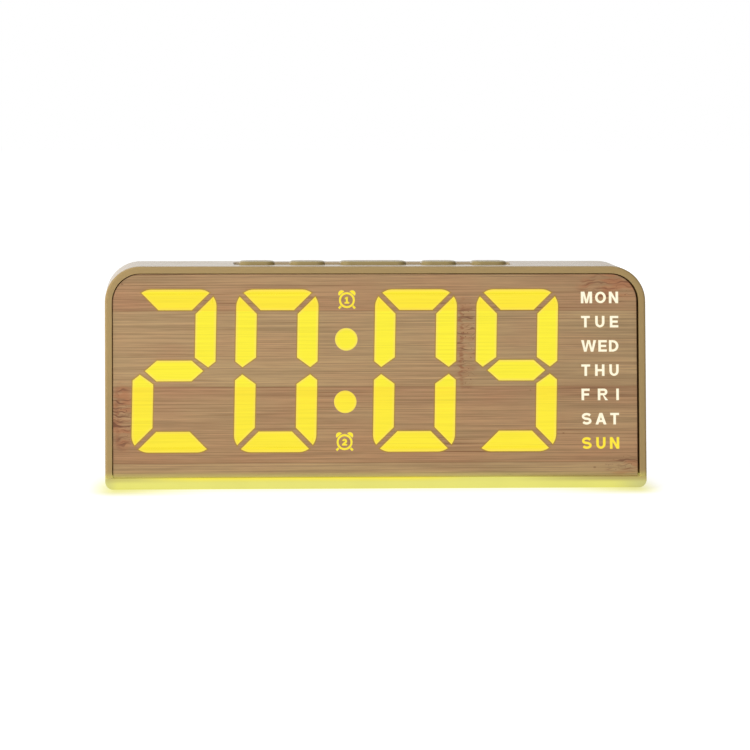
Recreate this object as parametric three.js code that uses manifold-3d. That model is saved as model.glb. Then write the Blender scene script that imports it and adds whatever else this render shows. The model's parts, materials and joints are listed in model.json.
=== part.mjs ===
// Digital alarm clock: a case with a leaning bamboo face, four seven-segment digits, a weekday column,
// a glowing base and five keys sunk in the top.
// Units are millimetres. The front faces -Y, +Z is up, and the origin lies on the table under the middle.

import * as THREE from "three";
import { mergeVertices } from "three/addons/utils/BufferGeometryUtils.js";
import Module from "manifold-3d";

const wasm = await Module();
wasm.setup();

// Case
const CASE_WIDTH = 190;
const CASE_HEIGHT = 77.4;
const CASE_DEPTH = 48;
const FACE_LEAN_DEGREES = 7;
const WALL = 2.5;
const TOP_CORNER = 12.4;
const BOTTOM_CORNER = 2.8;
const FRONT_EDGE_ROUND = 0.8;
const REAR_EDGE_ROUND = 2;

// Clearances: FIT between neighbours, SEAT where one piece is pressed or screwed against another
const FIT = 0.3;
const SEAT = 0.1;
// How far a rib, boss or ledge reaches into the wall that it grows from
const ROOT = 0.5;

// Glowing base and its feet
const BASE_HEIGHT = 3.8;
const BASE_FLOOR = 1.6;
const FOOT_DIAMETER = 10;
const FOOT_STANDOUT = 0.8;
const FOOT_SINK = 0.7;
const FOOT_CHAMFER = 0.3;
const FOOT_FROM_SIDE = 15;
const FOOT_FROM_FRONT = 13;
const FOOT_FROM_BACK = 8.5;

// Front panel and the ledge that it is bonded to
const PANEL_SETBACK = 0.4;
const PANEL_THICKNESS = 2;
const PANEL_GAP = 0.45;
const LEDGE_WIDTH = 2;
const LEDGE_THICKNESS = 2;

// Places of the symbols on the face, from the edges of the case
const LEFT_MARGIN = 9.7;
const RIGHT_MARGIN = 9.65;
const TOP_MARGIN = 8.1;
const LOW_MARGIN = 13;
const DIGIT_GAP = 6.95;
const COLON_SPACE = 19.9;
const WEEKDAYS = 7;
const LABEL_GAP = 8.55;
const LABEL_WIDTH = 13.3;
const LABEL_HEIGHT = 4.3;
const LABEL_INSET = 0.7;

// Seven-segment digits and the colon column
const STROKE = 7.2;
const DIGIT_CORNER = 6;
const SEGMENT_GAP = 1.9;
const SLANT_DEGREES = 1.2;
const TIP_INSET = 2.5;
const TIP_GAP = 2.5;
const TIP_SLOPE_INNER = 0.72;
const TIP_SLOPE_OUTER = 0.81;
const MIDDLE_INSET = 4.2;
const MIDDLE_SLOPE = 0.88;
const DOT_DIAMETER = 7.9;
const DOT_SPACING = 21.9;
const SIGN_DIAMETER = 6.8;

// Light guides, reflector and display board
const LENS_FLANGE = 0.8;
const LENS_MARGIN = 1.2;
const LENS_SINK = 0.1;
const WINDOW_FIT = 0.2;
const REFLECTOR_DEPTH = 7.5;
const REFLECTOR_MARGIN = 1.8;
const REFLECTOR_CORNER = 7;
const RIM_THICKNESS = 1.5;
const EAR_WIDTH = 7;
const BOARD_THICKNESS = 1.6;
const LED_LENGTH = 2.8;
const LED_WIDTH = 1.6;
const LED_HEIGHT = 0.8;

// Keys and their recess in the top
const KEY_WIDTH = 12.7;
const LONG_KEY_WIDTH = 23.7;
const KEY_DEPTH = 10;
const KEY_CORNER = 3.5;
const KEY_GAP = 5.2;
const KEY_STANDOUT = 1;
const KEY_EDGE_ROUND = 0.9;
const KEY_TRAVEL = 0.5;
const KEY_SETBACK = 19.8;
const KEY_FLANGE = 1;
const KEY_FLANGE_THICKNESS = 1.2;
const KEY_STEM_DIAMETER = 4.4;
const KEY_STEM_LENGTH = 1.5;
const RECESS_DEPTH = 1;
const RECESS_END = 1.4;
const RECESS_SIDE = 2.4;
const RECESS_CORNER = 2;

// Tact switches and the key board
const SWITCH_SIZE = 6;
const SWITCH_HEIGHT = 3.4;
const PLUNGER_DIAMETER = 3.4;
const PLUNGER_STANDOUT = 1.2;
const PLUNGER_DEPTH = 1;
const KEY_BOARD_DEPTH = 11;
const KEY_BOARD_END = 9;

// Screws and the bosses that take them
const SHANK_DIAMETER = 2.2;
const HEAD_DIAMETER = 4.4;
const HEAD_HEIGHT = 1.3;
const BOSS_DIAMETER = 6.4;
const RIB = 2;
const REAR_SCREW_LENGTH = 8;
const REAR_SCREW_FROM_SIDE = 7.5;
const REAR_SCREW_RISE = 15;
const REAR_SCREW_DROP = 16;
const BOARD_SCREW_LENGTH = 5;
const BASE_SCREW_LENGTH = 8;
const BASE_SCREW_FROM_SIDE = 8;
const BASE_SCREW_FROM_BACK = 16;

// Rear cover
const COVER_THICKNESS = 2.4;
const COVER_SETBACK = 0.6;
const SOUND_SLOT = 1.8;
const SOUND_PITCH = 3.4;
const SOUND_SLOTS = 5;
const SOUND_REACH = 9;
const BUZZER_FROM_SIDE = 43;
const BUZZER_DIAMETER = 22;
const BUZZER_HEIGHT = 5.5;
const BUZZER_RING = 1.6;
const BUZZER_RING_LENGTH = 3.5;
const BUZZER_HOLE = 3;

// Battery pocket, on the left seen from the front
const BATTERY_FROM_SIDE = 39;
const CELL_DIAMETER = 20;
const CELL_HEIGHT = 3.2;
const CELL_STEP = 0.6;
const CONTACT_THICKNESS = 0.3;
const CONTACT_WIDTH = 5;
const CONTACT_BOW = 0.8;
const DOOR_SIZE = 27.4;
const DOOR_THICKNESS = 1.8;
const DOOR_CORNER = 2;
const POCKET_WALL = 1.5;
const LATCH_WIDTH = 8;
const LATCH_LENGTH = 7;
const LATCH_SLOT = 0.8;
const FINGER_RADIUS = 5;
const FINGER_DEPTH = 1;

// Main board and power socket
const MAIN_BOARD_WIDTH = 72;
const MAIN_BOARD_RISE = 5;
const MAIN_BOARD_DROP = 8.5;
const POST_DIAMETER = 5.6;
const POST_FROM_EDGE = 5;
const CHIP_SIZE = 10;
const CHIP_HEIGHT = 1.4;
const SOCKET_X = 12;
const SOCKET_RISE = 9;
const SOCKET_WIDTH = 9;
const SOCKET_HEIGHT = 3.4;
const SOCKET_LENGTH = 9.5;
const SOCKET_SHELL = 0.35;
const SOCKET_MOUTH = 6.2;
const SOCKET_SINK = 0.8;
const TONGUE_WIDTH = 6.6;
const TONGUE_THICKNESS = 0.7;

// Night light board in the base
const LIGHT_BOARD_FROM_SIDE = 15;
const LIGHT_BOARD_FROM_BACK = 7;
const LIGHT_BOARD_THICKNESS = 1.2;
const LIGHT_LEDS = 8;

// Ribbon cables and their connectors
const RIBBON_WIDTH = 9;
const RIBBON_THICKNESS = 0.5;
const CONNECTOR_WIDTH = 12;
const CONNECTOR_HEIGHT = 4;
const CONNECTOR_DEPTH = 3;
const DISPLAY_RIBBON_X = 0;
const KEY_RIBBON_X = 18;
const LIGHT_RIBBON_X = -22;

// Facets: steps of a corner arc and of an edge round
const CORNER_STEPS = 4;
const SMALL_STEPS = 2;
const EDGE_STEPS = 3;
const LATHE_STEPS = 12;
const SCREW_STEPS = 8;
// Length by which a cutting tool passes the face that it cuts
const PAST = 2;

// Worked out from the driving sizes
const lean = THREE.MathUtils.degToRad(FACE_LEAN_DEGREES);
const slant = Math.tan(THREE.MathUtils.degToRad(SLANT_DEGREES));
const halfWidth = CASE_WIDTH / 2;
const back = CASE_DEPTH / 2;
// Y at which the plane of the face meets the underside, so that the face's flat starts at the full depth
const front = -CASE_DEPTH / 2 - FRONT_EDGE_ROUND * Math.tan(lean);
const baseTop = FOOT_STANDOUT + BASE_HEIGHT;
const caseTop = FOOT_STANDOUT + CASE_HEIGHT;
const housingLow = baseTop + SEAT;
const faceHeight = CASE_HEIGHT / Math.cos(lean);
const shankRadius = SHANK_DIAMETER / 2;
const pilotRadius = shankRadius + FIT;
const headRadius = HEAD_DIAMETER / 2;
const boreRadius = headRadius + FIT;
const bossRadius = BOSS_DIAMETER / 2;

// Depths behind the front plane of the face
const panelBack = PANEL_SETBACK + PANEL_THICKNESS;
const ledgeFront = panelBack + FIT;
const ledgeBack = ledgeFront + LEDGE_THICKNESS;
const flangeFront = panelBack + FIT;
const flangeBack = flangeFront + LENS_FLANGE;
const reflectorFront = flangeBack + FIT;
const reflectorBack = reflectorFront + REFLECTOR_DEPTH;
const rimFront = ledgeBack + FIT;
const displayFront = reflectorBack + FIT;
const displayBack = displayFront + BOARD_THICKNESS;
const screwBack = displayBack + SEAT + HEAD_HEIGHT;

// Y of the face plane at a height, and of a plane that lies a depth behind it
const faceAt = (z) => front + (z - FOOT_STANDOUT) * Math.tan(lean);
const behindFace = (depth) => (z) => faceAt(z) + depth / Math.cos(lean);

// Distance up the face at which a point that lies a depth behind it has the height z
const upFace = (z, depth) => (z - FOOT_STANDOUT + depth * Math.sin(lean)) / Math.cos(lean);

// Turns solid geometry into something that can be joined and cut, and back again
function solid(geometry) {
  const bare = new THREE.BufferGeometry();
  bare.setAttribute("position", geometry.getAttribute("position"));
  bare.setIndex(geometry.getIndex());
  const merged = mergeVertices(bare);
  const vertProperties = new Float32Array(merged.getAttribute("position").array);
  const triVerts = new Uint32Array(merged.getIndex().array);
  return new wasm.Manifold(new wasm.Mesh({ numProp: 3, vertProperties, triVerts }));
}

function geometryOf(body) {
  const mesh = body.getMesh();
  const geometry = new THREE.BufferGeometry();
  geometry.setAttribute("position", new THREE.BufferAttribute(mesh.vertProperties, mesh.numProp));
  geometry.setIndex(new THREE.BufferAttribute(mesh.triVerts, 1));
  geometry.computeVertexNormals();
  return geometry;
}

const join = (geometries) => geometries.map(solid).reduce((all, next) => all.add(next));
const cut = (body, geometries) => geometries.map(solid).reduce((rest, tool) => rest.subtract(tool), body);

// Prisms: up along Z from a plan, back along Y from a front view, along X from a side view
function upright(shape, low, high, curveSegments = CORNER_STEPS) {
  const settings = { depth: high - low, bevelEnabled: false, curveSegments };
  return new THREE.ExtrudeGeometry(shape, settings).translate(0, 0, low);
}

function inward(shape, near, far, curveSegments = CORNER_STEPS) {
  const settings = { depth: far - near, bevelEnabled: false, curveSegments };
  return new THREE.ExtrudeGeometry(shape, settings).rotateX(Math.PI / 2).translate(0, far, 0);
}

function sideways(shape, left, right) {
  const settings = { depth: right - left, bevelEnabled: false };
  const turn = new THREE.Matrix4().makeBasis(
    new THREE.Vector3(0, 1, 0),
    new THREE.Vector3(0, 0, 1),
    new THREE.Vector3(1, 0, 0),
  );
  return new THREE.ExtrudeGeometry(shape, settings).applyMatrix4(turn).translate(left, 0, 0);
}

function box(low, high) {
  const size = new THREE.Vector3().subVectors(high, low);
  const middle = new THREE.Vector3().addVectors(low, high).multiplyScalar(0.5);
  return new THREE.BoxGeometry(size.x, size.y, size.z).translate(middle.x, middle.y, middle.z);
}

const at = (x, y, z) => new THREE.Vector3(x, y, z);

// Flat shapes
function circle(x, y, radius) {
  const shape = new THREE.Shape();
  shape.absarc(x, y, radius, 0, Math.PI);
  shape.absarc(x, y, radius, Math.PI, 2 * Math.PI);
  return shape;
}

function rectangle(x, y, width, height, corner) {
  const [dx, dy] = [width / 2 - corner, height / 2 - corner];
  const shape = new THREE.Shape();
  shape.absarc(x + dx, y - dy, corner, -Math.PI / 2, 0);
  shape.absarc(x + dx, y + dy, corner, 0, Math.PI / 2);
  shape.absarc(x - dx, y + dy, corner, Math.PI / 2, Math.PI);
  shape.absarc(x - dx, y - dy, corner, Math.PI, Math.PI * 1.5);
  return shape;
}

const square = (x, y, width, height) =>
  new THREE.Shape([
    new THREE.Vector2(x - width / 2, y - height / 2),
    new THREE.Vector2(x + width / 2, y - height / 2),
    new THREE.Vector2(x + width / 2, y + height / 2),
    new THREE.Vector2(x - width / 2, y + height / 2),
  ]);

const shapeOf = (points) => new THREE.Shape(points);
const holed = (shape, holes) => Object.assign(shape, { holes });

// Front view of the whole case, drawn in by an inset
function caseOutline(inset) {
  const [right, low, high] = [halfWidth - inset, FOOT_STANDOUT + inset, caseTop - inset];
  const [top, bottom] = [TOP_CORNER - inset, BOTTOM_CORNER - inset];
  const shape = new THREE.Shape();
  shape.absarc(right - bottom, low + bottom, bottom, -Math.PI / 2, 0);
  shape.absarc(right - top, high - top, top, 0, Math.PI / 2);
  shape.absarc(top - right, high - top, top, Math.PI / 2, Math.PI);
  shape.absarc(bottom - right, low + bottom, bottom, Math.PI, Math.PI * 1.5);
  return shape.getPoints(CORNER_STEPS);
}

// Arch of the case, drawn in by an inset: straight sides from a low edge up to two round corners
function archShape(inset, low, high = caseTop - inset) {
  const right = halfWidth - inset;
  const corner = TOP_CORNER - inset;
  const shape = new THREE.Shape();
  shape.moveTo(-right, low);
  shape.lineTo(right, low);
  shape.absarc(right - corner, high - corner, corner, 0, Math.PI / 2);
  shape.absarc(corner - right, high - corner, corner, Math.PI / 2, Math.PI);
  return shape;
}

// Solid through a row of matching rings, each a list of points that turn left round the way ahead
function loft(rings) {
  const count = rings[0].length;
  const positions = rings.flat().flatMap((point) => [point.x, point.y, point.z]);
  const index = [];
  for (let level = 0; level < rings.length - 1; level += 1) {
    for (let i = 0; i < count; i += 1) {
      const [a, b] = [level * count + i, level * count + ((i + 1) % count)];
      index.push(a, b, a + count, b, b + count, a + count);
    }
  }
  const flat = rings[0].map((point) => new THREE.Vector2(point.x, point.plan));
  const last = (rings.length - 1) * count;
  for (const [a, b, c] of THREE.ShapeUtils.triangulateShape(flat, [])) {
    index.push(c, b, a, last + a, last + b, last + c);
  }
  const geometry = new THREE.BufferGeometry();
  geometry.setAttribute("position", new THREE.Float32BufferAttribute(positions, 3));
  geometry.setIndex(index);
  return geometry;
}

// Rings for a loft: a front view placed on a surface y(z), or a plan placed at a height
const viewRing = (points, y) =>
  points.map((point) => Object.assign(at(point.x, y(point.y), point.y), { plan: point.y }));
const planRing = (points, z) =>
  points.map((point) => Object.assign(at(point.x, point.y, z), { plan: point.y }));

// Quarter circle from 0 to 1 in even steps, as the inset and the set-back of an edge round
const edgeRound = (radius) =>
  Array.from({ length: EDGE_STEPS + 1 }, (_, step) => {
    const angle = (step / EDGE_STEPS) * (Math.PI / 2);
    return { inset: radius * (1 - Math.sin(angle)), setback: radius * (1 - Math.cos(angle)) };
  });

// Outer form of housing and base together: flat leaning face, upright back, both with rounded edges
function caseForm() {
  const rear = edgeRound(REAR_EDGE_ROUND).map(({ inset, setback }) =>
    viewRing(caseOutline(inset), () => back - setback),
  );
  const face = edgeRound(FRONT_EDGE_ROUND).reverse().map(({ inset, setback }) =>
    viewRing(caseOutline(inset), behindFace(setback)),
  );
  return loft([...rear, ...face]);
}

// Slab that fills a front view between two depths behind the face
function leaningSlab(shape, near, far) {
  const points = shape.getPoints(CORNER_STEPS);
  return loft([viewRing(points, behindFace(far)), viewRing(points, behindFace(near))]);
}

// Places on the face: across from the middle, and up from the lower edge
const digitWidth =
  (CASE_WIDTH - LEFT_MARGIN - RIGHT_MARGIN - LABEL_WIDTH - LABEL_GAP - COLON_SPACE - 2 * DIGIT_GAP) / 4;
const digitHeight = faceHeight - TOP_MARGIN - LOW_MARGIN;
const digitLow = LOW_MARGIN;
const digitTop = LOW_MARGIN + digitHeight;
const digitMiddle = (digitLow + digitTop) / 2;
const firstDigit = LEFT_MARGIN + digitWidth / 2 - halfWidth;
const digitPitch = digitWidth + DIGIT_GAP;
const pairPitch = digitPitch + digitWidth + COLON_SPACE;
const digitCentres = [0, digitPitch, pairPitch, pairPitch + digitPitch].map((step) => firstDigit + step);
const colonCentre = (digitCentres[1] + digitCentres[2]) / 2;
const labelCentre = halfWidth - RIGHT_MARGIN - LABEL_WIDTH / 2;
const labelPitch = (digitHeight - 2 * LABEL_INSET - LABEL_HEIGHT) / (WEEKDAYS - 1);
const labelTop = digitTop - LABEL_INSET - LABEL_HEIGHT / 2;
const slanted = (x, y) => new THREE.Vector2(x + (y - digitMiddle) * slant, y);

// Outlines of the seven segments of a digit, grown outwards, on the face
function segmentOutlines(centre, grow) {
  const [a, b] = [digitWidth / 2 + grow, digitHeight / 2 + grow];
  const stroke = STROKE + 2 * grow;
  const corner = DIGIT_CORNER + grow;
  const mitre = (SEGMENT_GAP - 2 * grow) / Math.SQRT2;
  const reach = (mitre + Math.sqrt(2 * corner ** 2 - mitre ** 2)) / 2;
  const turn = Math.atan2(reach, reach - mitre);
  const tip = TIP_INSET + grow;
  const tipRise = TIP_GAP / 2 - grow;

  const bar = new THREE.Shape();
  bar.moveTo(-(a - stroke - mitre), b - stroke);
  bar.lineTo(a - stroke - mitre, b - stroke);
  bar.absarc(a - corner, b - corner, corner, turn, Math.PI / 2);
  bar.absarc(corner - a, b - corner, corner, Math.PI / 2, Math.PI - turn);

  const post = new THREE.Shape();
  post.moveTo(a - stroke, b - stroke - mitre);
  post.lineTo(a - stroke, tipRise + (stroke - tip) * TIP_SLOPE_INNER);
  post.lineTo(a - tip, tipRise);
  post.lineTo(a, tipRise + tip * TIP_SLOPE_OUTER);
  post.absarc(a - corner, b - corner, corner, 0, Math.PI / 2 - turn);

  const middleTip = digitWidth / 2 - MIDDLE_INSET + grow;
  const middleFlat = middleTip - stroke / 2 / MIDDLE_SLOPE;
  const middle = new THREE.Shape();
  middle.moveTo(-middleFlat, -stroke / 2);
  middle.lineTo(middleFlat, -stroke / 2);
  middle.lineTo(middleTip, 0);
  middle.lineTo(middleFlat, stroke / 2);
  middle.lineTo(-middleFlat, stroke / 2);
  middle.lineTo(-middleTip, 0);

  const place = (shape, sideX, sideY) =>
    shape.getPoints(SMALL_STEPS).map((p) => slanted(centre + p.x * sideX, digitMiddle + p.y * sideY));
  return [
    place(bar, 1, 1),
    place(post, 1, 1),
    place(post, 1, -1),
    place(bar, 1, -1),
    place(post, -1, -1),
    place(post, -1, 1),
    place(middle, 1, 1),
  ];
}

// Outlines of the colon column: two alarm signs and two dots
function colonOutlines(grow) {
  const dot = DOT_DIAMETER / 2 + grow;
  const sign = SIGN_DIAMETER / 2 + grow;
  const rows = [
    { height: digitTop - SIGN_DIAMETER / 2, radius: sign },
    { height: digitMiddle + DOT_SPACING / 2, radius: dot },
    { height: digitMiddle - DOT_SPACING / 2, radius: dot },
    { height: digitLow + SIGN_DIAMETER / 2, radius: sign },
  ];
  return rows.map(({ height, radius }) => {
    const middle = slanted(colonCentre, height);
    return circle(middle.x, middle.y, radius).getPoints(CORNER_STEPS);
  });
}

// Outlines of the seven weekday bars
const labelOutlines = (grow) =>
  Array.from({ length: WEEKDAYS }, (_, row) =>
    square(
      labelCentre,
      labelTop - row * labelPitch,
      LABEL_WIDTH + 2 * grow,
      LABEL_HEIGHT + 2 * grow,
    ).getPoints(),
  );

const allOutlines = (grow) => [
  ...digitCentres.flatMap((centre) => segmentOutlines(centre, grow)),
  ...colonOutlines(grow),
  ...labelOutlines(grow),
];

const middleOf = (points) => new THREE.Box2().setFromPoints(points).getCenter(new THREE.Vector2());

// Places shared by the housing and the pieces that are screwed to it
const coverBack = back - COVER_SETBACK;
const coverFront = coverBack - COVER_THICKNESS;
const stackLow = upFace(housingLow + FIT, displayBack);
const stackTop = digitTop + REFLECTOR_MARGIN;
const blockHalf = halfWidth - WALL - LEDGE_WIDTH - FIT - SEAT;
const blockLow = digitLow - LENS_MARGIN;
const padTop = blockLow - FIT;
const displayScrewX = blockHalf - EAR_WIDTH / 2;
const displayScrewUp = (stackLow + padTop) / 2;
const bossHeight = BASE_SCREW_LENGTH;
const clearOfDisplay = behindFace(screwBack + FIT)(housingLow + bossHeight);

const keyY = faceAt(caseTop) + KEY_SETBACK;
const keySpan = 4 * KEY_WIDTH + LONG_KEY_WIDTH + 4 * KEY_GAP;
const recessLength = keySpan + 2 * RECESS_END;
const recessWidth = KEY_DEPTH + 2 * RECESS_SIDE;
const recessFloor = caseTop - RECESS_DEPTH;
const ceiling = caseTop - WALL;
const keyTop = caseTop + KEY_STANDOUT;
const keyFlangeTop = ceiling - FIT;
const keyFlangeLow = keyFlangeTop - KEY_FLANGE_THICKNESS;
const keyStemLow = keyFlangeLow - KEY_STEM_LENGTH;
const plungerTop = keyStemLow - SEAT;
const switchTop = plungerTop - PLUNGER_STANDOUT;
const switchLow = switchTop - SWITCH_HEIGHT;
const keyBoardTop = switchLow - SEAT;
const keyBoardLow = keyBoardTop - BOARD_THICKNESS;
const keyBoardHalf = recessLength / 2 + KEY_BOARD_END;
const keyScrewX = keyBoardHalf - KEY_BOARD_END / 2;

const keyWidths = [KEY_WIDTH, KEY_WIDTH, LONG_KEY_WIDTH, KEY_WIDTH, KEY_WIDTH];
const keyNames = ["set", "alarm", "snooze", "down", "up"];
const keys = keyNames.map((name, place) => {
  const before = keyWidths.slice(0, place).reduce((sum, width) => sum + width + KEY_GAP, 0);
  return { name, width: keyWidths[place], x: before + keyWidths[place] / 2 - keySpan / 2 };
});

const rearScrews = [-1, 1].flatMap((side) =>
  [housingLow + REAR_SCREW_RISE, caseTop - REAR_SCREW_DROP].map((z) => ({
    side,
    x: side * (halfWidth - REAR_SCREW_FROM_SIDE),
    z,
  })),
);
const baseScrews = [-1, 1].flatMap((side) =>
  [clearOfDisplay + bossRadius, back - BASE_SCREW_FROM_BACK].map((y) => ({
    side,
    x: side * (halfWidth - BASE_SCREW_FROM_SIDE),
    y,
  })),
);
const feet = [-1, 1].flatMap((side) =>
  [front + FOOT_FROM_FRONT, back - FOOT_FROM_BACK].map((y) => ({
    x: side * (halfWidth - FOOT_FROM_SIDE),
    y,
  })),
);

// Moves geometry drawn on the face (across, depth, up) into the case
function onFace(geometry) {
  return geometry.rotateX(-lean).translate(0, front, FOOT_STANDOUT);
}

// Main housing
function housingBody() {
  const above = box(at(-CASE_WIDTH, -CASE_DEPTH, housingLow), at(CASE_WIDTH, CASE_DEPTH, 2 * CASE_HEIGHT));
  const cavity = archShape(WALL, -WALL).getPoints(CORNER_STEPS);
  const hollow = loft([viewRing(cavity, () => back + PAST), viewRing(cavity, behindFace(-PAST))]);
  const shell = cut(solid(caseForm()), [hollow]);

  const ledge = cut(solid(leaningSlab(archShape(WALL - ROOT, -WALL), ledgeFront, ledgeBack)), [
    leaningSlab(archShape(WALL + LEDGE_WIDTH, -WALL - PAST), ledgeFront - PAST, ledgeBack + PAST),
  ]);
  const wallX = halfWidth - WALL + ROOT;
  const pads = [-1, 1].map((side) => {
    const across = [side * (blockHalf - EAR_WIDTH), side * wallX].sort((p, q) => p - q);
    return onFace(box(at(across[0], ledgeFront, 0), at(across[1], ledgeBack, padTop)));
  });

  const bossEnd = coverFront - SEAT;
  const bossStart = bossEnd - REAR_SCREW_LENGTH;
  const rearBosses = rearScrews.flatMap(({ side, x, z }) => {
    const across = [x, side * wallX].sort((p, q) => p - q);
    return [
      inward(circle(x, z, bossRadius), bossStart, bossEnd, SMALL_STEPS),
      box(at(across[0], bossStart, z - RIB / 2), at(across[1], bossEnd, z + RIB / 2)),
    ];
  });
  const baseBosses = baseScrews.flatMap(({ side, x, y }) => {
    const across = [x, side * wallX].sort((p, q) => p - q);
    return [
      upright(circle(x, y, bossRadius), housingLow, housingLow + bossHeight, SMALL_STEPS),
      box(at(across[0], y - RIB / 2, housingLow), at(across[1], y + RIB / 2, housingLow + bossHeight)),
    ];
  });
  const keyBosses = [-1, 1].map((side) =>
    upright(circle(side * keyScrewX, keyY, bossRadius), keyBoardTop + SEAT, ceiling + ROOT, SMALL_STEPS),
  );

  const whole = shell
    .add(ledge)
    .add(join([...pads, ...rearBosses, ...baseBosses, ...keyBosses]))
    .intersect(solid(above));
  const recessPlan = rectangle(0, keyY, recessLength, recessWidth, RECESS_CORNER);
  const recess = upright(recessPlan, recessFloor, caseTop + PAST);
  const apertures = keys.map(({ x, width }) =>
    upright(
      rectangle(x, keyY, width + 2 * FIT, KEY_DEPTH + 2 * FIT, KEY_CORNER + FIT),
      ceiling - PAST,
      caseTop,
      SMALL_STEPS,
    ),
  );
  const pilots = [
    ...rearScrews.map(({ x, z }) =>
      inward(circle(x, z, pilotRadius), bossStart - PAST, bossEnd + PAST, SMALL_STEPS),
    ),
    ...baseScrews.map(({ x, y }) =>
      upright(circle(x, y, pilotRadius), housingLow - PAST, housingLow + bossHeight + PAST, SMALL_STEPS),
    ),
    ...[-1, 1].map((side) =>
      upright(circle(side * keyScrewX, keyY, pilotRadius), keyBoardTop - PAST, ceiling - SEAT, SMALL_STEPS),
    ),
    ...[-1, 1].map((side) =>
      onFace(
        inward(
          circle(side * displayScrewX, displayScrewUp, pilotRadius),
          ledgeFront - SEAT,
          ledgeBack + PAST,
          SMALL_STEPS,
        ),
      ),
    ),
  ];
  return cut(whole, [recess, ...apertures, ...pilots]);
}

// Base diffuser: a shallow tray with foot seats below and screw posts inside
function baseBody() {
  const floorTop = FOOT_STANDOUT + BASE_FLOOR;
  const below = box(at(-CASE_WIDTH, -CASE_DEPTH, -CASE_HEIGHT), at(CASE_WIDTH, CASE_DEPTH, baseTop));
  const pocketTop = baseTop + PAST;
  const pocketView = square(0, (floorTop + pocketTop) / 2, CASE_WIDTH - 2 * WALL, pocketTop - floorTop);
  const pocket = pocketView.getPoints();
  const hollow = loft([viewRing(pocket, () => back - WALL), viewRing(pocket, behindFace(WALL))]);
  const tray = cut(solid(caseForm()).intersect(solid(below)), [hollow]);
  const posts = baseScrews.map(({ x, y }) =>
    upright(circle(x, y, bossRadius), floorTop - ROOT, baseTop, SMALL_STEPS),
  );
  const boreTop = FOOT_STANDOUT + HEAD_HEIGHT + SEAT;
  return cut(tray.add(join(posts)), [
    ...baseScrews.map(({ x, y }) => upright(circle(x, y, pilotRadius), -PAST, baseTop + PAST, SMALL_STEPS)),
    ...baseScrews.map(({ x, y }) => upright(circle(x, y, boreRadius), -PAST, boreTop, SMALL_STEPS)),
    ...feet.map(({ x, y }) =>
      upright(circle(x, y, FOOT_DIAMETER / 2 + FIT), -PAST, FOOT_STANDOUT + FOOT_SINK),
    ),
  ]);
}

// Rubber foot, turned about its own axis
function footGeometry() {
  const radius = FOOT_DIAMETER / 2;
  const height = FOOT_STANDOUT + FOOT_SINK - SEAT;
  const profile = [
    new THREE.Vector2(0, 0),
    new THREE.Vector2(radius - FOOT_CHAMFER, 0),
    new THREE.Vector2(radius, FOOT_CHAMFER),
    new THREE.Vector2(radius, height),
    new THREE.Vector2(0, height),
  ];
  return new THREE.LatheGeometry(profile, LATHE_STEPS).rotateX(Math.PI / 2);
}

// Screw along +Z with its tip at the origin of its length and its head on top
function screwGeometry(length) {
  const profile = [
    new THREE.Vector2(0, 0),
    new THREE.Vector2(shankRadius, shankRadius),
    new THREE.Vector2(shankRadius, length),
    new THREE.Vector2(headRadius, length),
    new THREE.Vector2(headRadius, length + HEAD_HEIGHT),
    new THREE.Vector2(0, length + HEAD_HEIGHT),
  ];
  return new THREE.LatheGeometry(profile, SCREW_STEPS).rotateX(Math.PI / 2);
}

// Front panel with a window for every symbol
function panelGeometry() {
  const [low, high] = [upFace(housingLow + FIT, panelBack), upFace(ceiling - PANEL_GAP, PANEL_SETBACK)];
  const outline = archShape(WALL + PANEL_GAP, low, high);
  const windows = allOutlines(WINDOW_FIT).map((points) => new THREE.Path(points));
  return inward(holed(outline, windows), PANEL_SETBACK, panelBack);
}

// Light guide: a thin flange behind the panel with one boss in each window
function lensBody(outlines) {
  const reach = new THREE.Box2().setFromPoints(outlines.flat()).expandByScalar(LENS_MARGIN);
  const flange = box(at(reach.min.x, flangeFront, reach.min.y), at(reach.max.x, flangeBack, reach.max.y));
  const bosses = outlines.map((points) =>
    inward(shapeOf(points), PANEL_SETBACK + LENS_SINK, flangeFront + LENS_FLANGE / 2),
  );
  return join([flange, ...bosses]);
}

// Reflector: a block with one light well for each symbol, a rim behind the ledge and two screw ears
function reflectorBody() {
  const middle = (blockLow + stackTop) / 2;
  const wells = allOutlines(WINDOW_FIT).map((points) => new THREE.Path(points));
  const block = rectangle(0, middle, 2 * blockHalf, stackTop - blockLow, REFLECTOR_CORNER);
  const rim = archShape(WALL + FIT, blockLow, upFace(ceiling - FIT, rimFront));
  const holeHeight = stackTop - blockLow - 2 * ROOT;
  const rimHole = rectangle(0, middle, 2 * (blockHalf - ROOT), holeHeight, REFLECTOR_CORNER);
  const rimPlate = inward(holed(rim, [rimHole]), rimFront, rimFront + RIM_THICKNESS);
  const ears = [-1, 1].map((side) =>
    inward(
      square(
        side * displayScrewX,
        (stackLow + blockLow + ROOT) / 2,
        EAR_WIDTH,
        blockLow + ROOT - stackLow,
      ),
      rimFront,
      reflectorBack,
    ),
  );
  const bores = [-1, 1].map((side) =>
    inward(
      circle(side * displayScrewX, displayScrewUp, pilotRadius),
      rimFront - PAST,
      reflectorBack + PAST,
      SMALL_STEPS,
    ),
  );
  return cut(join([inward(holed(block, wells), reflectorFront, reflectorBack), rimPlate, ...ears]), bores);
}

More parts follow.
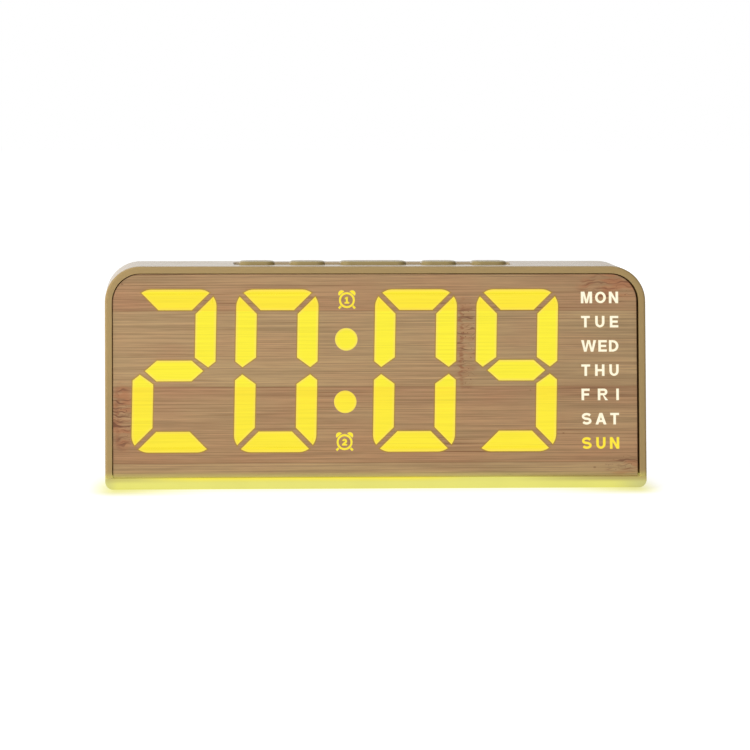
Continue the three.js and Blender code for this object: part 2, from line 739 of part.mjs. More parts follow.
// Display board: a plate with one LED in each well and a connector behind
function displayBoardBody() {
  const plate = rectangle(
    0,
    (stackLow + stackTop) / 2,
    2 * blockHalf,
    stackTop - stackLow,
    REFLECTOR_CORNER,
  );
  const leds = allOutlines(0).map((points) => {
    const { x, y } = middleOf(points);
    const chip = square(x, y, LED_LENGTH, LED_WIDTH);
    return inward(chip, displayFront - LED_HEIGHT, displayFront + BOARD_THICKNESS / 2);
  });
  const connector = inward(
    square(DISPLAY_RIBBON_X, digitMiddle, CONNECTOR_WIDTH, CONNECTOR_HEIGHT),
    displayBack - BOARD_THICKNESS / 2,
    displayBack + CONNECTOR_DEPTH,
  );
  const bores = [-1, 1].map((side) =>
    inward(
      circle(side * displayScrewX, displayScrewUp, pilotRadius),
      displayFront - PAST,
      displayBack + PAST,
      SMALL_STEPS,
    ),
  );
  const board = inward(plate, displayFront, displayBack, SMALL_STEPS);
  return cut(join([board, ...leds, connector]), bores);
}

// Key: a rounded cap through the recess, a flange that stops below the top wall, and a stem
function keyBody({ x, width }) {
  const capPoints = (inset) =>
    rectangle(x, keyY, width - 2 * inset, KEY_DEPTH - 2 * inset, KEY_CORNER - inset).getPoints(SMALL_STEPS);
  const rounds = edgeRound(KEY_EDGE_ROUND).reverse();
  const cap = loft([
    planRing(capPoints(0), keyFlangeLow),
    ...rounds.map(({ inset, setback }) => planRing(capPoints(inset), keyTop - setback)),
  ]);
  const flange = upright(
    rectangle(x, keyY, width + 2 * KEY_FLANGE, KEY_DEPTH + 2 * KEY_FLANGE, KEY_CORNER + KEY_FLANGE),
    keyFlangeLow,
    keyFlangeTop,
    SMALL_STEPS,
  );
  const stem = upright(circle(x, keyY, KEY_STEM_DIAMETER / 2), keyStemLow, keyFlangeTop, SMALL_STEPS);
  return join([cap, flange, stem]);
}

// Tact switch body with the well that its plunger runs in
function switchBody({ x }) {
  const well = upright(
    circle(x, keyY, PLUNGER_DIAMETER / 2 + FIT),
    switchTop - PLUNGER_DEPTH - KEY_TRAVEL - FIT,
    switchTop + PAST,
    SMALL_STEPS,
  );
  return cut(solid(upright(square(x, keyY, SWITCH_SIZE, SWITCH_SIZE), switchLow, switchTop)), [well]);
}

const plungerGeometry = ({ x }) =>
  upright(circle(x, keyY, PLUNGER_DIAMETER / 2), switchTop - PLUNGER_DEPTH, plungerTop, SMALL_STEPS);

// Key board: a strip under the keys, screwed to two bosses, with a connector below
function keyBoardBody() {
  const plate = rectangle(0, keyY, 2 * keyBoardHalf, KEY_BOARD_DEPTH, RECESS_CORNER);
  const connector = upright(
    square(KEY_RIBBON_X, keyY, CONNECTOR_WIDTH, CONNECTOR_HEIGHT),
    keyBoardLow - CONNECTOR_DEPTH,
    keyBoardLow + BOARD_THICKNESS / 2,
  );
  const bores = [-1, 1].map((side) =>
    upright(circle(side * keyScrewX, keyY, pilotRadius), keyBoardLow - PAST, keyBoardTop + PAST, SMALL_STEPS),
  );
  return cut(join([upright(plate, keyBoardLow, keyBoardTop, SMALL_STEPS), connector]), bores);
}

// Main board, on two posts of the rear cover
const boardBack = coverBack - SOCKET_SINK - SOCKET_LENGTH - SEAT;
const boardFront = boardBack - BOARD_THICKNESS;
const mainLow = housingLow + MAIN_BOARD_RISE;
const mainTop = keyBoardLow - MAIN_BOARD_DROP;
const postZ = mainTop - POST_FROM_EDGE;
const postX = MAIN_BOARD_WIDTH / 2 - POST_FROM_EDGE;
const socketZ = housingLow + SOCKET_RISE;
const plugs = [
  { x: DISPLAY_RIBBON_X, z: (mainLow + mainTop) / 2 },
  { x: KEY_RIBBON_X, z: mainTop - 2 * CONNECTOR_HEIGHT },
  { x: LIGHT_RIBBON_X, z: mainLow + CONNECTOR_HEIGHT },
];

function mainBoardBody() {
  const plate = square(0, (mainLow + mainTop) / 2, MAIN_BOARD_WIDTH, mainTop - mainLow);
  const connectors = plugs.map(({ x, z }) =>
    inward(
      square(x, z, CONNECTOR_WIDTH, CONNECTOR_HEIGHT),
      boardFront - CONNECTOR_DEPTH,
      boardFront + BOARD_THICKNESS / 2,
    ),
  );
  const chip = inward(
    square(-SOCKET_X, (mainLow + mainTop) / 2, CHIP_SIZE, CHIP_SIZE),
    boardBack - BOARD_THICKNESS / 2,
    boardBack + CHIP_HEIGHT,
  );
  const bores = [-1, 1].map((side) =>
    inward(circle(side * postX, postZ, pilotRadius), boardFront - PAST, boardBack + PAST, SMALL_STEPS),
  );
  return cut(join([inward(plate, boardFront, boardBack), ...connectors, chip]), bores);
}

// Power socket: a rounded metal shell round a flat tongue
function socketBody() {
  const mouth = coverBack - SOCKET_SINK;
  const [innerWidth, innerHeight] = [SOCKET_WIDTH - 2 * SOCKET_SHELL, SOCKET_HEIGHT - 2 * SOCKET_SHELL];
  const shell = inward(
    rectangle(SOCKET_X, socketZ, SOCKET_WIDTH, SOCKET_HEIGHT, SOCKET_HEIGHT / 2 - SEAT),
    boardBack + SEAT,
    mouth,
    SMALL_STEPS,
  );
  const opening = inward(
    rectangle(SOCKET_X, socketZ, innerWidth, innerHeight, innerHeight / 2 - SEAT),
    mouth - SOCKET_MOUTH,
    mouth + PAST,
    SMALL_STEPS,
  );
  const tongue = inward(
    square(SOCKET_X, socketZ, TONGUE_WIDTH, TONGUE_THICKNESS),
    mouth - SOCKET_MOUTH - ROOT,
    mouth - ROOT,
  );
  return cut(solid(shell), [opening]).add(solid(tongue));
}

// Battery pocket in the rear cover: the door's seat, then a round well for the cell
const batteryX = BATTERY_FROM_SIDE - halfWidth;
const batteryZ = (housingLow + ceiling) / 2;
const buzzerX = halfWidth - BUZZER_FROM_SIDE;
const doorSeat = coverBack - DOOR_THICKNESS - FIT;
const cellBack = doorSeat - SEAT;
const cellFront = cellBack - CELL_HEIGHT;
const pocketFloor = cellFront - CONTACT_BOW - CONTACT_THICKNESS - 2 * SEAT;
const pocketFront = pocketFloor - POCKET_WALL;
const wellRadius = CELL_DIAMETER / 2 + FIT;
const sideLeaf = batteryZ + wellRadius + CONTACT_THICKNESS + SEAT;
const buzzerBack = coverFront - SEAT;

function rearCoverBody() {
  const plate = inward(archShape(WALL + FIT, housingLow + FIT), coverFront, coverBack);
  const pocketSize = DOOR_SIZE + 2 * FIT + 2 * POCKET_WALL;
  const pocket = inward(
    rectangle(batteryX, batteryZ, pocketSize, pocketSize, DOOR_CORNER),
    pocketFront,
    coverFront + ROOT,
    SMALL_STEPS,
  );
  const posts = [-1, 1].map((side) =>
    inward(circle(side * postX, postZ, POST_DIAMETER / 2), boardBack + SEAT, coverFront + ROOT, SMALL_STEPS),
  );
  const ringInner = BUZZER_DIAMETER / 2 + FIT;
  const ringEdge = circle(buzzerX, batteryZ, ringInner + BUZZER_RING);
  const ring = holed(ringEdge, [circle(buzzerX, batteryZ, ringInner)]);
  const buzzerSeat = inward(ring, coverFront - BUZZER_RING_LENGTH, coverFront + ROOT);

  const doorOpening = DOOR_SIZE + 2 * FIT;
  const seat = inward(
    rectangle(batteryX, batteryZ, doorOpening, doorOpening, DOOR_CORNER + FIT),
    doorSeat,
    coverBack + PAST,
    SMALL_STEPS,
  );
  const well = inward(circle(batteryX, batteryZ, wellRadius), pocketFloor, coverBack + PAST);
  const leafSlot = box(
    at(batteryX - CONTACT_WIDTH / 2 - FIT, pocketFloor, batteryZ),
    at(batteryX + CONTACT_WIDTH / 2 + FIT, doorSeat + PAST, sideLeaf + FIT),
  );
  const fingerZ = batteryZ + doorOpening / 2;
  const fingerDip = circle(batteryX, fingerZ, FINGER_RADIUS);
  const finger = inward(fingerDip, coverBack - FINGER_DEPTH, coverBack + PAST);
  const slots = Array.from({ length: SOUND_SLOTS }, (_, row) => {
    const rise = (row - (SOUND_SLOTS - 1) / 2) * SOUND_PITCH;
    const length = 2 * Math.sqrt(SOUND_REACH ** 2 - rise ** 2);
    const slot = rectangle(buzzerX, batteryZ + rise, length, SOUND_SLOT, SOUND_SLOT / 2 - SEAT);
    return inward(slot, coverFront - PAST, coverBack + PAST, SMALL_STEPS);
  });
  const socketHole = inward(
    rectangle(
      SOCKET_X,
      socketZ,
      SOCKET_WIDTH + 2 * FIT,
      SOCKET_HEIGHT + 2 * FIT,
      SOCKET_HEIGHT / 2 + FIT - SEAT,
    ),
    coverFront - PAST,
    coverBack + PAST,
    SMALL_STEPS,
  );
  const screwHoles = rearScrews.flatMap(({ x, z }) => [
    inward(circle(x, z, pilotRadius), coverFront - PAST, coverBack + PAST, SMALL_STEPS),
    inward(circle(x, z, boreRadius), coverBack - HEAD_HEIGHT - SEAT, coverBack + PAST, SMALL_STEPS),
  ]);
  const pilots = [-1, 1].map((side) =>
    inward(circle(side * postX, postZ, pilotRadius), boardBack - PAST, coverFront, SMALL_STEPS),
  );
  const whole = join([plate, pocket, ...posts, buzzerSeat]);
  return cut(whole, [seat, well, leafSlot, finger, ...slots, socketHole, ...screwHoles, ...pilots]);
}

// Battery door: a flush plate with a sprung latch tongue
function doorBody() {
  const doorFront = coverBack - DOOR_THICKNESS;
  const plate = rectangle(batteryX, batteryZ, DOOR_SIZE, DOOR_SIZE, DOOR_CORNER);
  const tongueTop = batteryZ + DOOR_SIZE / 2;
  const tongueLow = tongueTop - LATCH_LENGTH;
  const slits = [-1, 1].map((side) => {
    const x = batteryX + side * (LATCH_WIDTH / 2 + LATCH_SLOT / 2);
    return inward(
      square(x, (tongueLow + tongueTop + PAST) / 2, LATCH_SLOT, tongueTop + PAST - tongueLow),
      doorFront - PAST,
      coverBack + PAST,
    );
  });
  return cut(solid(inward(plate, doorFront, coverBack, SMALL_STEPS)), slits);
}

// Coin cell: a can with a smaller negative face, towards the front of the clock
function cellGeometry() {
  const radius = CELL_DIAMETER / 2;
  const profile = [
    new THREE.Vector2(0, 0),
    new THREE.Vector2(radius - 2 * CELL_STEP, 0),
    new THREE.Vector2(radius - 2 * CELL_STEP, CELL_STEP),
    new THREE.Vector2(radius, CELL_STEP),
    new THREE.Vector2(radius, CELL_HEIGHT),
    new THREE.Vector2(0, CELL_HEIGHT),
  ];
  return new THREE.LatheGeometry(profile, 2 * LATHE_STEPS).translate(batteryX, cellFront, batteryZ);
}

// Strip of one thickness along a row of points in a side view
function strip(points, thickness) {
  const outer = points.map((point, i) => {
    const [before, after] = [points[Math.max(i - 1, 0)], points[Math.min(i + 1, points.length - 1)]];
    const ahead = new THREE.Vector2().subVectors(after, before).normalize();
    return new THREE.Vector2(point.x - ahead.y * thickness, point.y + ahead.x * thickness);
  });
  return new THREE.Shape([...points, ...outer.reverse()]);
}

// Battery contacts: a bowed leaf under the cell and a flat leaf beside it
function negativeContact() {
  const floor = pocketFloor + SEAT;
  const reach = CELL_DIAMETER / 2 - 2 * CELL_STEP;
  const bow = new THREE.QuadraticBezierCurve(
    new THREE.Vector2(floor, batteryZ + reach / 2),
    new THREE.Vector2(floor + 2 * CONTACT_BOW - SEAT, batteryZ),
    new THREE.Vector2(floor, batteryZ - reach / 2),
  );
  const points = bow.getPoints(2 * CORNER_STEPS);
  return sideways(
    strip(points, CONTACT_THICKNESS),
    batteryX - CONTACT_WIDTH / 2,
    batteryX + CONTACT_WIDTH / 2,
  );
}

const positiveContact = () =>
  box(
    at(batteryX - CONTACT_WIDTH / 2, pocketFloor + SEAT, sideLeaf - CONTACT_THICKNESS),
    at(batteryX + CONTACT_WIDTH / 2, cellBack, sideLeaf),
  );

// Buzzer: a round can with a sound hole towards the slots
function buzzerBody() {
  const can = inward(circle(buzzerX, batteryZ, BUZZER_DIAMETER / 2), buzzerBack - BUZZER_HEIGHT, buzzerBack);
  const hole = inward(
    circle(buzzerX, batteryZ, BUZZER_HOLE / 2),
    buzzerBack - BUZZER_HEIGHT / 2,
    buzzerBack + PAST,
    SMALL_STEPS,
  );
  return cut(solid(can), [hole]);
}

// Night light board: a long strip on the tray's floor with LEDs along its front edge
const lightLow = FOOT_STANDOUT + BASE_FLOOR + SEAT;
const lightTop = lightLow + LIGHT_BOARD_THICKNESS;
const lightFront = clearOfDisplay;
const lightBack = back - WALL - LIGHT_BOARD_FROM_BACK;
const lightPlugY = (lightFront + lightBack) / 2;

function lightBoardBody() {
  const half = halfWidth - LIGHT_BOARD_FROM_SIDE;
  const plate = square(0, lightPlugY, 2 * half, lightBack - lightFront);
  const pitch = (2 * half) / LIGHT_LEDS;
  const leds = Array.from({ length: LIGHT_LEDS }, (_, place) =>
    upright(
      square((place + 0.5) * pitch - half, lightFront + LED_LENGTH, LED_LENGTH, LED_WIDTH),
      lightLow + LIGHT_BOARD_THICKNESS / 2,
      lightTop + LED_HEIGHT,
    ),
  );
  const connector = upright(
    square(LIGHT_RIBBON_X, lightPlugY, CONNECTOR_WIDTH, CONNECTOR_HEIGHT),
    lightLow + LIGHT_BOARD_THICKNESS / 2,
    lightTop + CONNECTOR_DEPTH,
  );
  return join([upright(plate, lightLow, lightTop), ...leds, connector]);
}

// Ribbon cable along a curve in side view, centred across on x
function ribbonGeometry(x, start, startPull, endPull, end) {
  const curve = new THREE.CubicBezierCurve(start, startPull, endPull, end);
  const points = curve.getPoints(2 * CORNER_STEPS);
  return sideways(strip(points, RIBBON_THICKNESS), x - RIBBON_WIDTH / 2, x + RIBBON_WIDTH / 2);
}

const plugFace = boardFront - CONNECTOR_DEPTH - FIT;

function displayRibbon() {
  const socket = at(0, displayBack + CONNECTOR_DEPTH + FIT, digitMiddle);
  socket.applyAxisAngle(at(1, 0, 0), -lean).add(at(0, front, FOOT_STANDOUT));
  const start = new THREE.Vector2(socket.y, socket.z);
  const end = new THREE.Vector2(plugFace, plugs[0].z);
  const slack = (end.x - start.x) / 2;
  return ribbonGeometry(
    plugs[0].x,
    start,
    new THREE.Vector2(start.x + slack, start.y - slack * Math.tan(lean)),
    new THREE.Vector2(end.x - slack, end.y),
    end,
  );
}

function keyRibbon() {
  const start = new THREE.Vector2(keyY, keyBoardLow - CONNECTOR_DEPTH - FIT);
  const end = new THREE.Vector2(plugFace, plugs[1].z);
  const drop = start.y - end.y;
  return ribbonGeometry(
    plugs[1].x,
    start,
    new THREE.Vector2(start.x, start.y - drop / 2),
    new THREE.Vector2(end.x - drop, end.y),
    end,
  );
}

function lightRibbon() {
  const start = new THREE.Vector2(lightPlugY, lightTop + CONNECTOR_DEPTH + FIT);
  const end = new THREE.Vector2(plugFace, plugs[2].z);
  return ribbonGeometry(
    plugs[2].x,
    start,
    new THREE.Vector2(start.x, end.y),
    new THREE.Vector2((start.x + end.x) / 2, end.y),
    end,
  );
}

// Finishes
const finish = (color, roughness, metalness = 0) => () =>
  new THREE.MeshStandardMaterial({ color, roughness, metalness });
const tanPlastic = finish("#a98c60", 0.5);
const bamboo = finish("#a8865f", 0.55);
const litYellow = finish("#fff04a", 0.4);
const litWhite = finish("#fff8e8", 0.4);
const glowingBase = finish("#e9e57a", 0.35);
const whitePlastic = finish("#f1efe8", 0.6);
const greenBoard = finish("#1f5b3a", 0.5);
const blackPlastic = finish("#1d1d1f", 0.5);
const darkRubber = finish("#3a332a", 0.9);
const steel = finish("#b9bcc0", 0.3, 1);
const brassLeaf = finish("#c9a25a", 0.35, 1);
const greyRibbon = finish("#c9c9c4", 0.6);

function piece(name, shape, material) {
  const geometry = shape.isBufferGeometry ? shape : geometryOf(shape);
  const mesh = new THREE.Mesh(geometry, material());
  mesh.name = name;
  return mesh;
}

// Screw mesh with its head's underside at a point, its tip pointing along -Z of its own frame
function screw(name, length) {
  return piece(name, screwGeometry(length).translate(0, 0, -length), steel);
}

// Display stack: everything that is square to the leaning face
const face = new THREE.Group();
face.position.set(0, front, FOOT_STANDOUT);
face.rotation.x = -lean;
face.add(piece("front_panel", panelGeometry(), bamboo));
const digitNames = ["hours_tens", "hours_units", "minutes_tens", "minutes_units"];
digitNames.forEach((name, place) => {
  face.add(piece(`${name}_lens`, lensBody(segmentOutlines(digitCentres[place], 0)), litYellow));
});
face.add(piece("colon_lens", lensBody(colonOutlines(0)), litYellow));
face.add(piece("weekday_lens", lensBody(labelOutlines(0)), litWhite));
face.add(piece("display_reflector", reflectorBody(), whitePlastic));
face.add(piece("display_board", displayBoardBody(), greenBoard));
["left", "right"].forEach((side, place) => {
  const mesh = screw(`display_screw_${side}`, displayBack - ledgeFront);
  mesh.rotation.x = -Math.PI / 2;
  mesh.position.set((place * 2 - 1) * displayScrewX, displayBack + SEAT, displayScrewUp);
  face.add(mesh);
});

// Case, base and rear
const clock = new THREE.Group();
clock.add(face);
clock.add(piece("main_housing", housingBody(), tanPlastic));
clock.add(piece("base_diffuser", baseBody(), glowingBase));
clock.add(piece("rear_cover", rearCoverBody(), tanPlastic));

const corners = ["left_front", "left_rear", "right_front", "right_rear"];
feet.forEach(({ x, y }, place) => {
  const mesh = piece(`foot_${corners[place]}`, footGeometry(), darkRubber);
  mesh.position.set(x, y, 0);
  clock.add(mesh);
});
baseScrews.forEach(({ x, y }, place) => {
  const mesh = screw(`base_screw_${corners[place]}`, BASE_SCREW_LENGTH);
  mesh.rotation.x = Math.PI;
  mesh.position.set(x, y, FOOT_STANDOUT + HEAD_HEIGHT);
  clock.add(mesh);
});
const rearCorners = ["left_low", "left_high", "right_low", "right_high"];
rearScrews.forEach(({ x, z }, place) => {
  const mesh = screw(`rear_screw_${rearCorners[place]}`, REAR_SCREW_LENGTH);
  mesh.rotation.x = -Math.PI / 2;
  mesh.position.set(x, coverBack - HEAD_HEIGHT, z);
  clock.add(mesh);
});

// Keys, switches and key board
keys.forEach((key) => {
  clock.add(piece(`${key.name}_key`, keyBody(key), tanPlastic));
  clock.add(piece(`${key.name}_plunger`, plungerGeometry(key), whitePlastic));
  clock.add(piece(`${key.name}_switch`, switchBody(key), blackPlastic));
});
clock.add(piece("key_board", keyBoardBody(), greenBoard));
["left", "right"].forEach((side, place) => {
  const mesh = screw(`key_board_screw_${side}`, BOARD_SCREW_LENGTH);
  mesh.rotation.x = Math.PI;
  mesh.position.set((place * 2 - 1) * keyScrewX, keyY, keyBoardLow - SEAT);
  clock.add(mesh);
});

// Main board, power and sound
clock.add(piece("main_board", mainBoardBody(), greenBoard));
["left", "right"].forEach((side, place) => {
  const mesh = screw(`main_board_screw_${side}`, BOARD_SCREW_LENGTH);
  mesh.rotation.x = Math.PI / 2;
  mesh.position.set((place * 2 - 1) * postX, boardFront - SEAT, postZ);
  clock.add(mesh);
});
clock.add(piece("power_socket", socketBody(), steel));
clock.add(piece("buzzer", buzzerBody(), blackPlastic));
clock.add(piece("battery_door", doorBody(), tanPlastic));
clock.add(piece("coin_cell", cellGeometry(), steel));
clock.add(piece("battery_contact_negative", negativeContact(), brassLeaf));
clock.add(piece("battery_contact_positive", positiveContact(), brassLeaf));

// Night light and cables
clock.add(piece("night_light_board", lightBoardBody(), whitePlastic));
clock.add(piece("display_ribbon", displayRibbon(), greyRibbon));
clock.add(piece("key_ribbon", keyRibbon(), greyRibbon));
clock.add(piece("night_light_ribbon", lightRibbon(), greyRibbon));

export default clock;
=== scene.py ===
"""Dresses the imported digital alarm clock: bamboo face, lit digits, glowing base, keys and rear cover.

Meshes are modelled in millimetres in the clock's own frame and written in metres: +X is to the right of
someone reading the face, +Y runs from the face to the rear cover, and +Z is up from the table.
"""

import json
import logging
import math
from dataclasses import dataclass, field
from enum import Enum
from typing import Callable, ClassVar, Sequence

import bmesh
import bpy
from mathutils import Matrix, Vector

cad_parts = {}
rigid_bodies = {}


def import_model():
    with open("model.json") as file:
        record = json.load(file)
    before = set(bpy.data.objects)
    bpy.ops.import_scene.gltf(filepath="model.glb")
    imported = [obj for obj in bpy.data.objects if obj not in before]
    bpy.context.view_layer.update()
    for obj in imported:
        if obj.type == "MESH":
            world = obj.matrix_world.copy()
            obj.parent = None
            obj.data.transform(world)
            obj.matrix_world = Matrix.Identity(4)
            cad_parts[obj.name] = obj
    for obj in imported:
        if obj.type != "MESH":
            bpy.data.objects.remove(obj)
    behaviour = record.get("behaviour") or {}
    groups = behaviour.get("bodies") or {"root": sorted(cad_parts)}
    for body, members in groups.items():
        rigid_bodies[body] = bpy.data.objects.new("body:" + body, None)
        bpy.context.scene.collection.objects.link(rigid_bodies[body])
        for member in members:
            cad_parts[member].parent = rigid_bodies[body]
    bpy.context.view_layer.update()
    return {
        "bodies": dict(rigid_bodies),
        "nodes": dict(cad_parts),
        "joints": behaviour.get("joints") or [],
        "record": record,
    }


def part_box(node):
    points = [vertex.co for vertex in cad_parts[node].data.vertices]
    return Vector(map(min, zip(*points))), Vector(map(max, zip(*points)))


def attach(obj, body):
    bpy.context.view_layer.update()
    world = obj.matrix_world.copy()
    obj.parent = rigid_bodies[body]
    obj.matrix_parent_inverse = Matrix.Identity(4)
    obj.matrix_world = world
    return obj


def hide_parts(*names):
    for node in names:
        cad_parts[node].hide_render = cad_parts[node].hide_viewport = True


LOG = logging.getLogger("clock")

# A millimetre in metres
MM = 0.001
# Distance within which two points count as one, and the same after a boolean cut, in millimetres
NEAR = 1e-4
NEAR_CUT = 1e-3
# How far a cutter reaches past the surface that it cuts, in millimetres
PAST = 1.0
# Least share of a face's normal along an axis for the face to look that way
FACING = 0.9
SMOOTH_ANGLE = math.radians(32)
CASE_BODY = "clock_case"
RIGHT, BACK, UP = Vector((1, 0, 0)), Vector((0, 1, 0)), Vector((0, 0, 1))
CORNERS = ("left_front", "left_rear", "right_front", "right_rear")
REAR_SCREWS = [f"rear_screw_{side}_{level}" for side in ("left", "right") for level in ("low", "high")]
# Height of the straight part at each end of the power socket's outline, in millimetres
SOCKET_FLAT = 0.2
PURE_WHITE = (1.0, 1.0, 1.0, 1.0)

Colour = tuple[float, float, float, float]
Point = tuple[float, float]
Triple = tuple[float, float, float]
Test = Callable[[Vector], bool]
Face = bmesh.types.BMFace
Piece = bpy.types.Object
Socket = bpy.types.NodeSocket


def tone(code: str) -> Colour:
    """Turns a colour as it is seen, written like "#a98c60", into scene-linear values.

    Args:
        code: Six hexadecimal digits after a hash.

    Returns:
        Red, green, blue and alpha.
    """
    seen = [int(code[i : i + 2], 16) / 255 for i in (1, 3, 5)]
    linear = [v / 12.92 if v <= 0.04045 else ((v + 0.055) / 1.055) ** 2.4 for v in seen]
    return (*linear, 1.0)


def corners(node: str) -> tuple[Vector, Vector]:
    """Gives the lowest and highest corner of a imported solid, in millimetres."""
    low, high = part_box(node)
    return low / MM, high / MM


class Plane(Enum):
    """The plane that an outline is drawn in, as its two axes."""

    FRONT = (RIGHT, UP)
    PLAN = (RIGHT, BACK)


def middle(node: str, plane: Plane) -> Point:
    """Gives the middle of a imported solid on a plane's two axes, in millimetres."""
    low, high = corners(node)
    return tuple((low.dot(axis) + high.dot(axis)) / 2 for axis in plane.value)


class Blend(Enum):
    """How one solid changes another."""

    TAKE = "DIFFERENCE"
    ADD = "UNION"


def arc(centre: Point, radius: float, start: float, end: float, steps: int) -> list[Point]:
    """Gives points along a circle from one angle to another in radians, both ends included."""
    angles = [start + (end - start) * step / steps for step in range(steps + 1)]
    return [(centre[0] + radius * math.cos(a), centre[1] + radius * math.sin(a)) for a in angles]


def circle(centre: Point, radius: float, steps: int) -> list[Point]:
    """Gives points round a whole circle, without the first one again at the end."""
    return arc(centre, radius, 0, 2 * math.pi * (1 - 1 / steps), steps - 1)


class Form:
    """A mesh under construction, in millimetres."""

    def __init__(self, bm: bmesh.types.BMesh | None = None) -> None:
        """Starts with a given mesh or an empty one."""
        self.bm = bmesh.new() if bm is None else bm

    def outline(self, points: Sequence[Point], plane: Plane = Plane.FRONT) -> Face:
        """Adds a flat face with given corners in a plane."""
        across, along = plane.value
        return self.bm.faces.new([self.bm.verts.new(across * a + along * b) for a, b in points])

    def rounded(
        self, centre: Point, size: Point, radii: Sequence[float], plane: Plane = Plane.FRONT, steps: int = 10
    ) -> Face:
        """Adds a rectangle with round corners.

        Args:
            centre: Middle of the rectangle.
            size: Width and height.
            radii: Radius of each corner, from the lower left one, turning left.
            plane: Plane that it lies in.
            steps: Chords of one corner.

        Returns:
            The new face.
        """
        known = set(self.bm.faces)
        (x, y), (dx, dy) = centre, (size[0] / 2, size[1] / 2)
        face = self.outline([(x - dx, y - dy), (x + dx, y - dy), (x + dx, y + dy), (x - dx, y + dy)], plane)
        for vert, radius in zip(face.verts[:], radii):
            if radius > 0:
                self.bevel([vert], radius, steps, "VERTICES")
        return next(face for face in self.bm.faces if face not in known)

    def disc(self, centre: Point, radius: float, plane: Plane = Plane.FRONT, steps: int = 32) -> Face:
        """Adds a round face with a number of chords."""
        return self.outline(circle(centre, radius, steps), plane)

    def bevel(self, geometry: Sequence, width: float, steps: int, affect: str = "EDGES") -> None:
        """Rounds edges, or the corners of a flat face."""
        bmesh.ops.bevel(
            self.bm,
            geom=list(geometry),
            offset=width,
            offset_type="OFFSET",
            segments=steps,
            profile=0.5,
            affect=affect,
            clamp_overlap=False,
            material=-1,
        )

    def round_where(self, test: Test, width: float, steps: int, sharp: float = 30.0) -> None:
        """Rounds the sharp edges whose two ends pass a test.

        Args:
            test: Says whether a point lies on the edges that are wanted.
            width: Radius of the round.
            steps: Chords of the round.
            sharp: Least angle between the faces of such an edge, in degrees.
        """
        self.bm.normal_update()
        edges = [
            edge
            for edge in self.bm.edges
            if all(test(vert.co) for vert in edge.verts)
            and edge.calc_face_angle(0.0) > math.radians(sharp)
        ]
        self.bevel(edges, width, steps)

    def extrude(self, reach: Vector, *faces: Face) -> list[bmesh.types.BMVert]:
        """Draws faces out into a solid.

        Args:
            reach: Way that they go.
            *faces: Faces to draw out together.

        Returns:
            The vertices of the far end.
        """
        made = bmesh.ops.extrude_face_region(self.bm, geom=list(faces))
        far = [item for item in made["geom"] if isinstance(item, bmesh.types.BMVert)]
        bmesh.ops.translate(self.bm, verts=far, vec=reach)
        return far

    def slab(self, face: Face, start: float, end: float, axis: Vector = BACK) -> None:
        """Turns a flat face into a plate between two places on an axis."""
        bmesh.ops.translate(self.bm, verts=face.verts[:], vec=axis * start)
        self.extrude(axis * (end - start), face)

    def turn(self, profile: Sequence[Point], steps: int) -> None:
        """Spins a profile about the Z axis.

        Args:
            profile: Radius and height of each of its points.
            steps: Chords of the whole turn.
        """
        verts = [self.bm.verts.new((radius, 0, height)) for radius, height in profile]
        edges = [self.bm.edges.new(pair) for pair in zip(verts, verts[1:])]
        bmesh.ops.spin(
            self.bm,
            geom=[*verts, *edges],
            cent=(0, 0, 0),
            axis=(0, 0, 1),
            angle=2 * math.pi,
            steps=steps,
            use_merge=True,
        )

    def move(self, matrix: Matrix) -> None:
        """Moves everything made so far."""
        bmesh.ops.transform(self.bm, matrix=matrix, verts=self.bm.verts[:])

    def lean_front(self, test: Test, foot: float, slope: float) -> None:
        """Leans the vertices that pass a test back with their height.

        Args:
            test: Says whether a point is to move.
            foot: Height of the points that stay.
            slope: Way back for each millimetre of height.
        """
        for vert in self.bm.verts:
            if test(vert.co):
                vert.co.y += (vert.co.z - foot) * slope

    def close(self) -> None:
        """Merges doubles and turns all faces outwards."""
        bmesh.ops.remove_doubles(self.bm, verts=self.bm.verts[:], dist=NEAR)
        bmesh.ops.recalc_face_normals(self.bm, faces=self.bm.faces[:])

    def piece(self, name: str) -> Piece:
        """Writes the mesh out as an object at the origin.

        Args:
            name: Name of the piece.

        Returns:
            The new object, in metres.
        """
        self.close()
        self.move(Matrix.Scale(MM, 4))
        mesh = bpy.data.meshes.new(name)
        self.bm.to_mesh(mesh)
        self.bm.free()
        thing = bpy.data.objects.new(name, mesh)
        bpy.context.scene.collection.objects.link(thing)
        return thing

    @classmethod
    def of(cls, thing: Piece) -> "Form":
        """Opens an object's mesh again.

        Args:
            thing: The object.

        Returns:
            Its form, in millimetres.
        """
        form = cls()
        form.bm.from_mesh(thing.data)
        form.move(Matrix.Scale(1 / MM, 4))
        return form

    def write(self, thing: Piece) -> None:
        """Writes the mesh back to the object that it came from."""
        self.move(Matrix.Scale(MM, 4))
        self.bm.to_mesh(thing.data)
        self.bm.free()


def settle(thing: Piece) -> None:
    """Applies an object's modifiers to its mesh.

    Args:
        thing: The object.
    """
    graph = bpy.context.evaluated_depsgraph_get()
    mesh = bpy.data.meshes.new_from_object(thing.evaluated_get(graph))
    mesh.name = thing.name
    thing.modifiers.clear()
    thing.data = mesh


def blend(thing: Piece, tool: Form, how: Blend) -> None:
    """Cuts a form out of an object, or joins it on.

    Args:
        thing: The object.
        tool: The form, which is used up.
        how: What is done with it.
    """
    cutter = tool.piece(f"{thing.name}_tool")
    step = thing.modifiers.new(how.name, "BOOLEAN")
    step.operation = how.value
    step.solver = "EXACT"
    step.object = cutter
    bpy.context.view_layer.update()
    settle(thing)
    bpy.data.objects.remove(cutter)


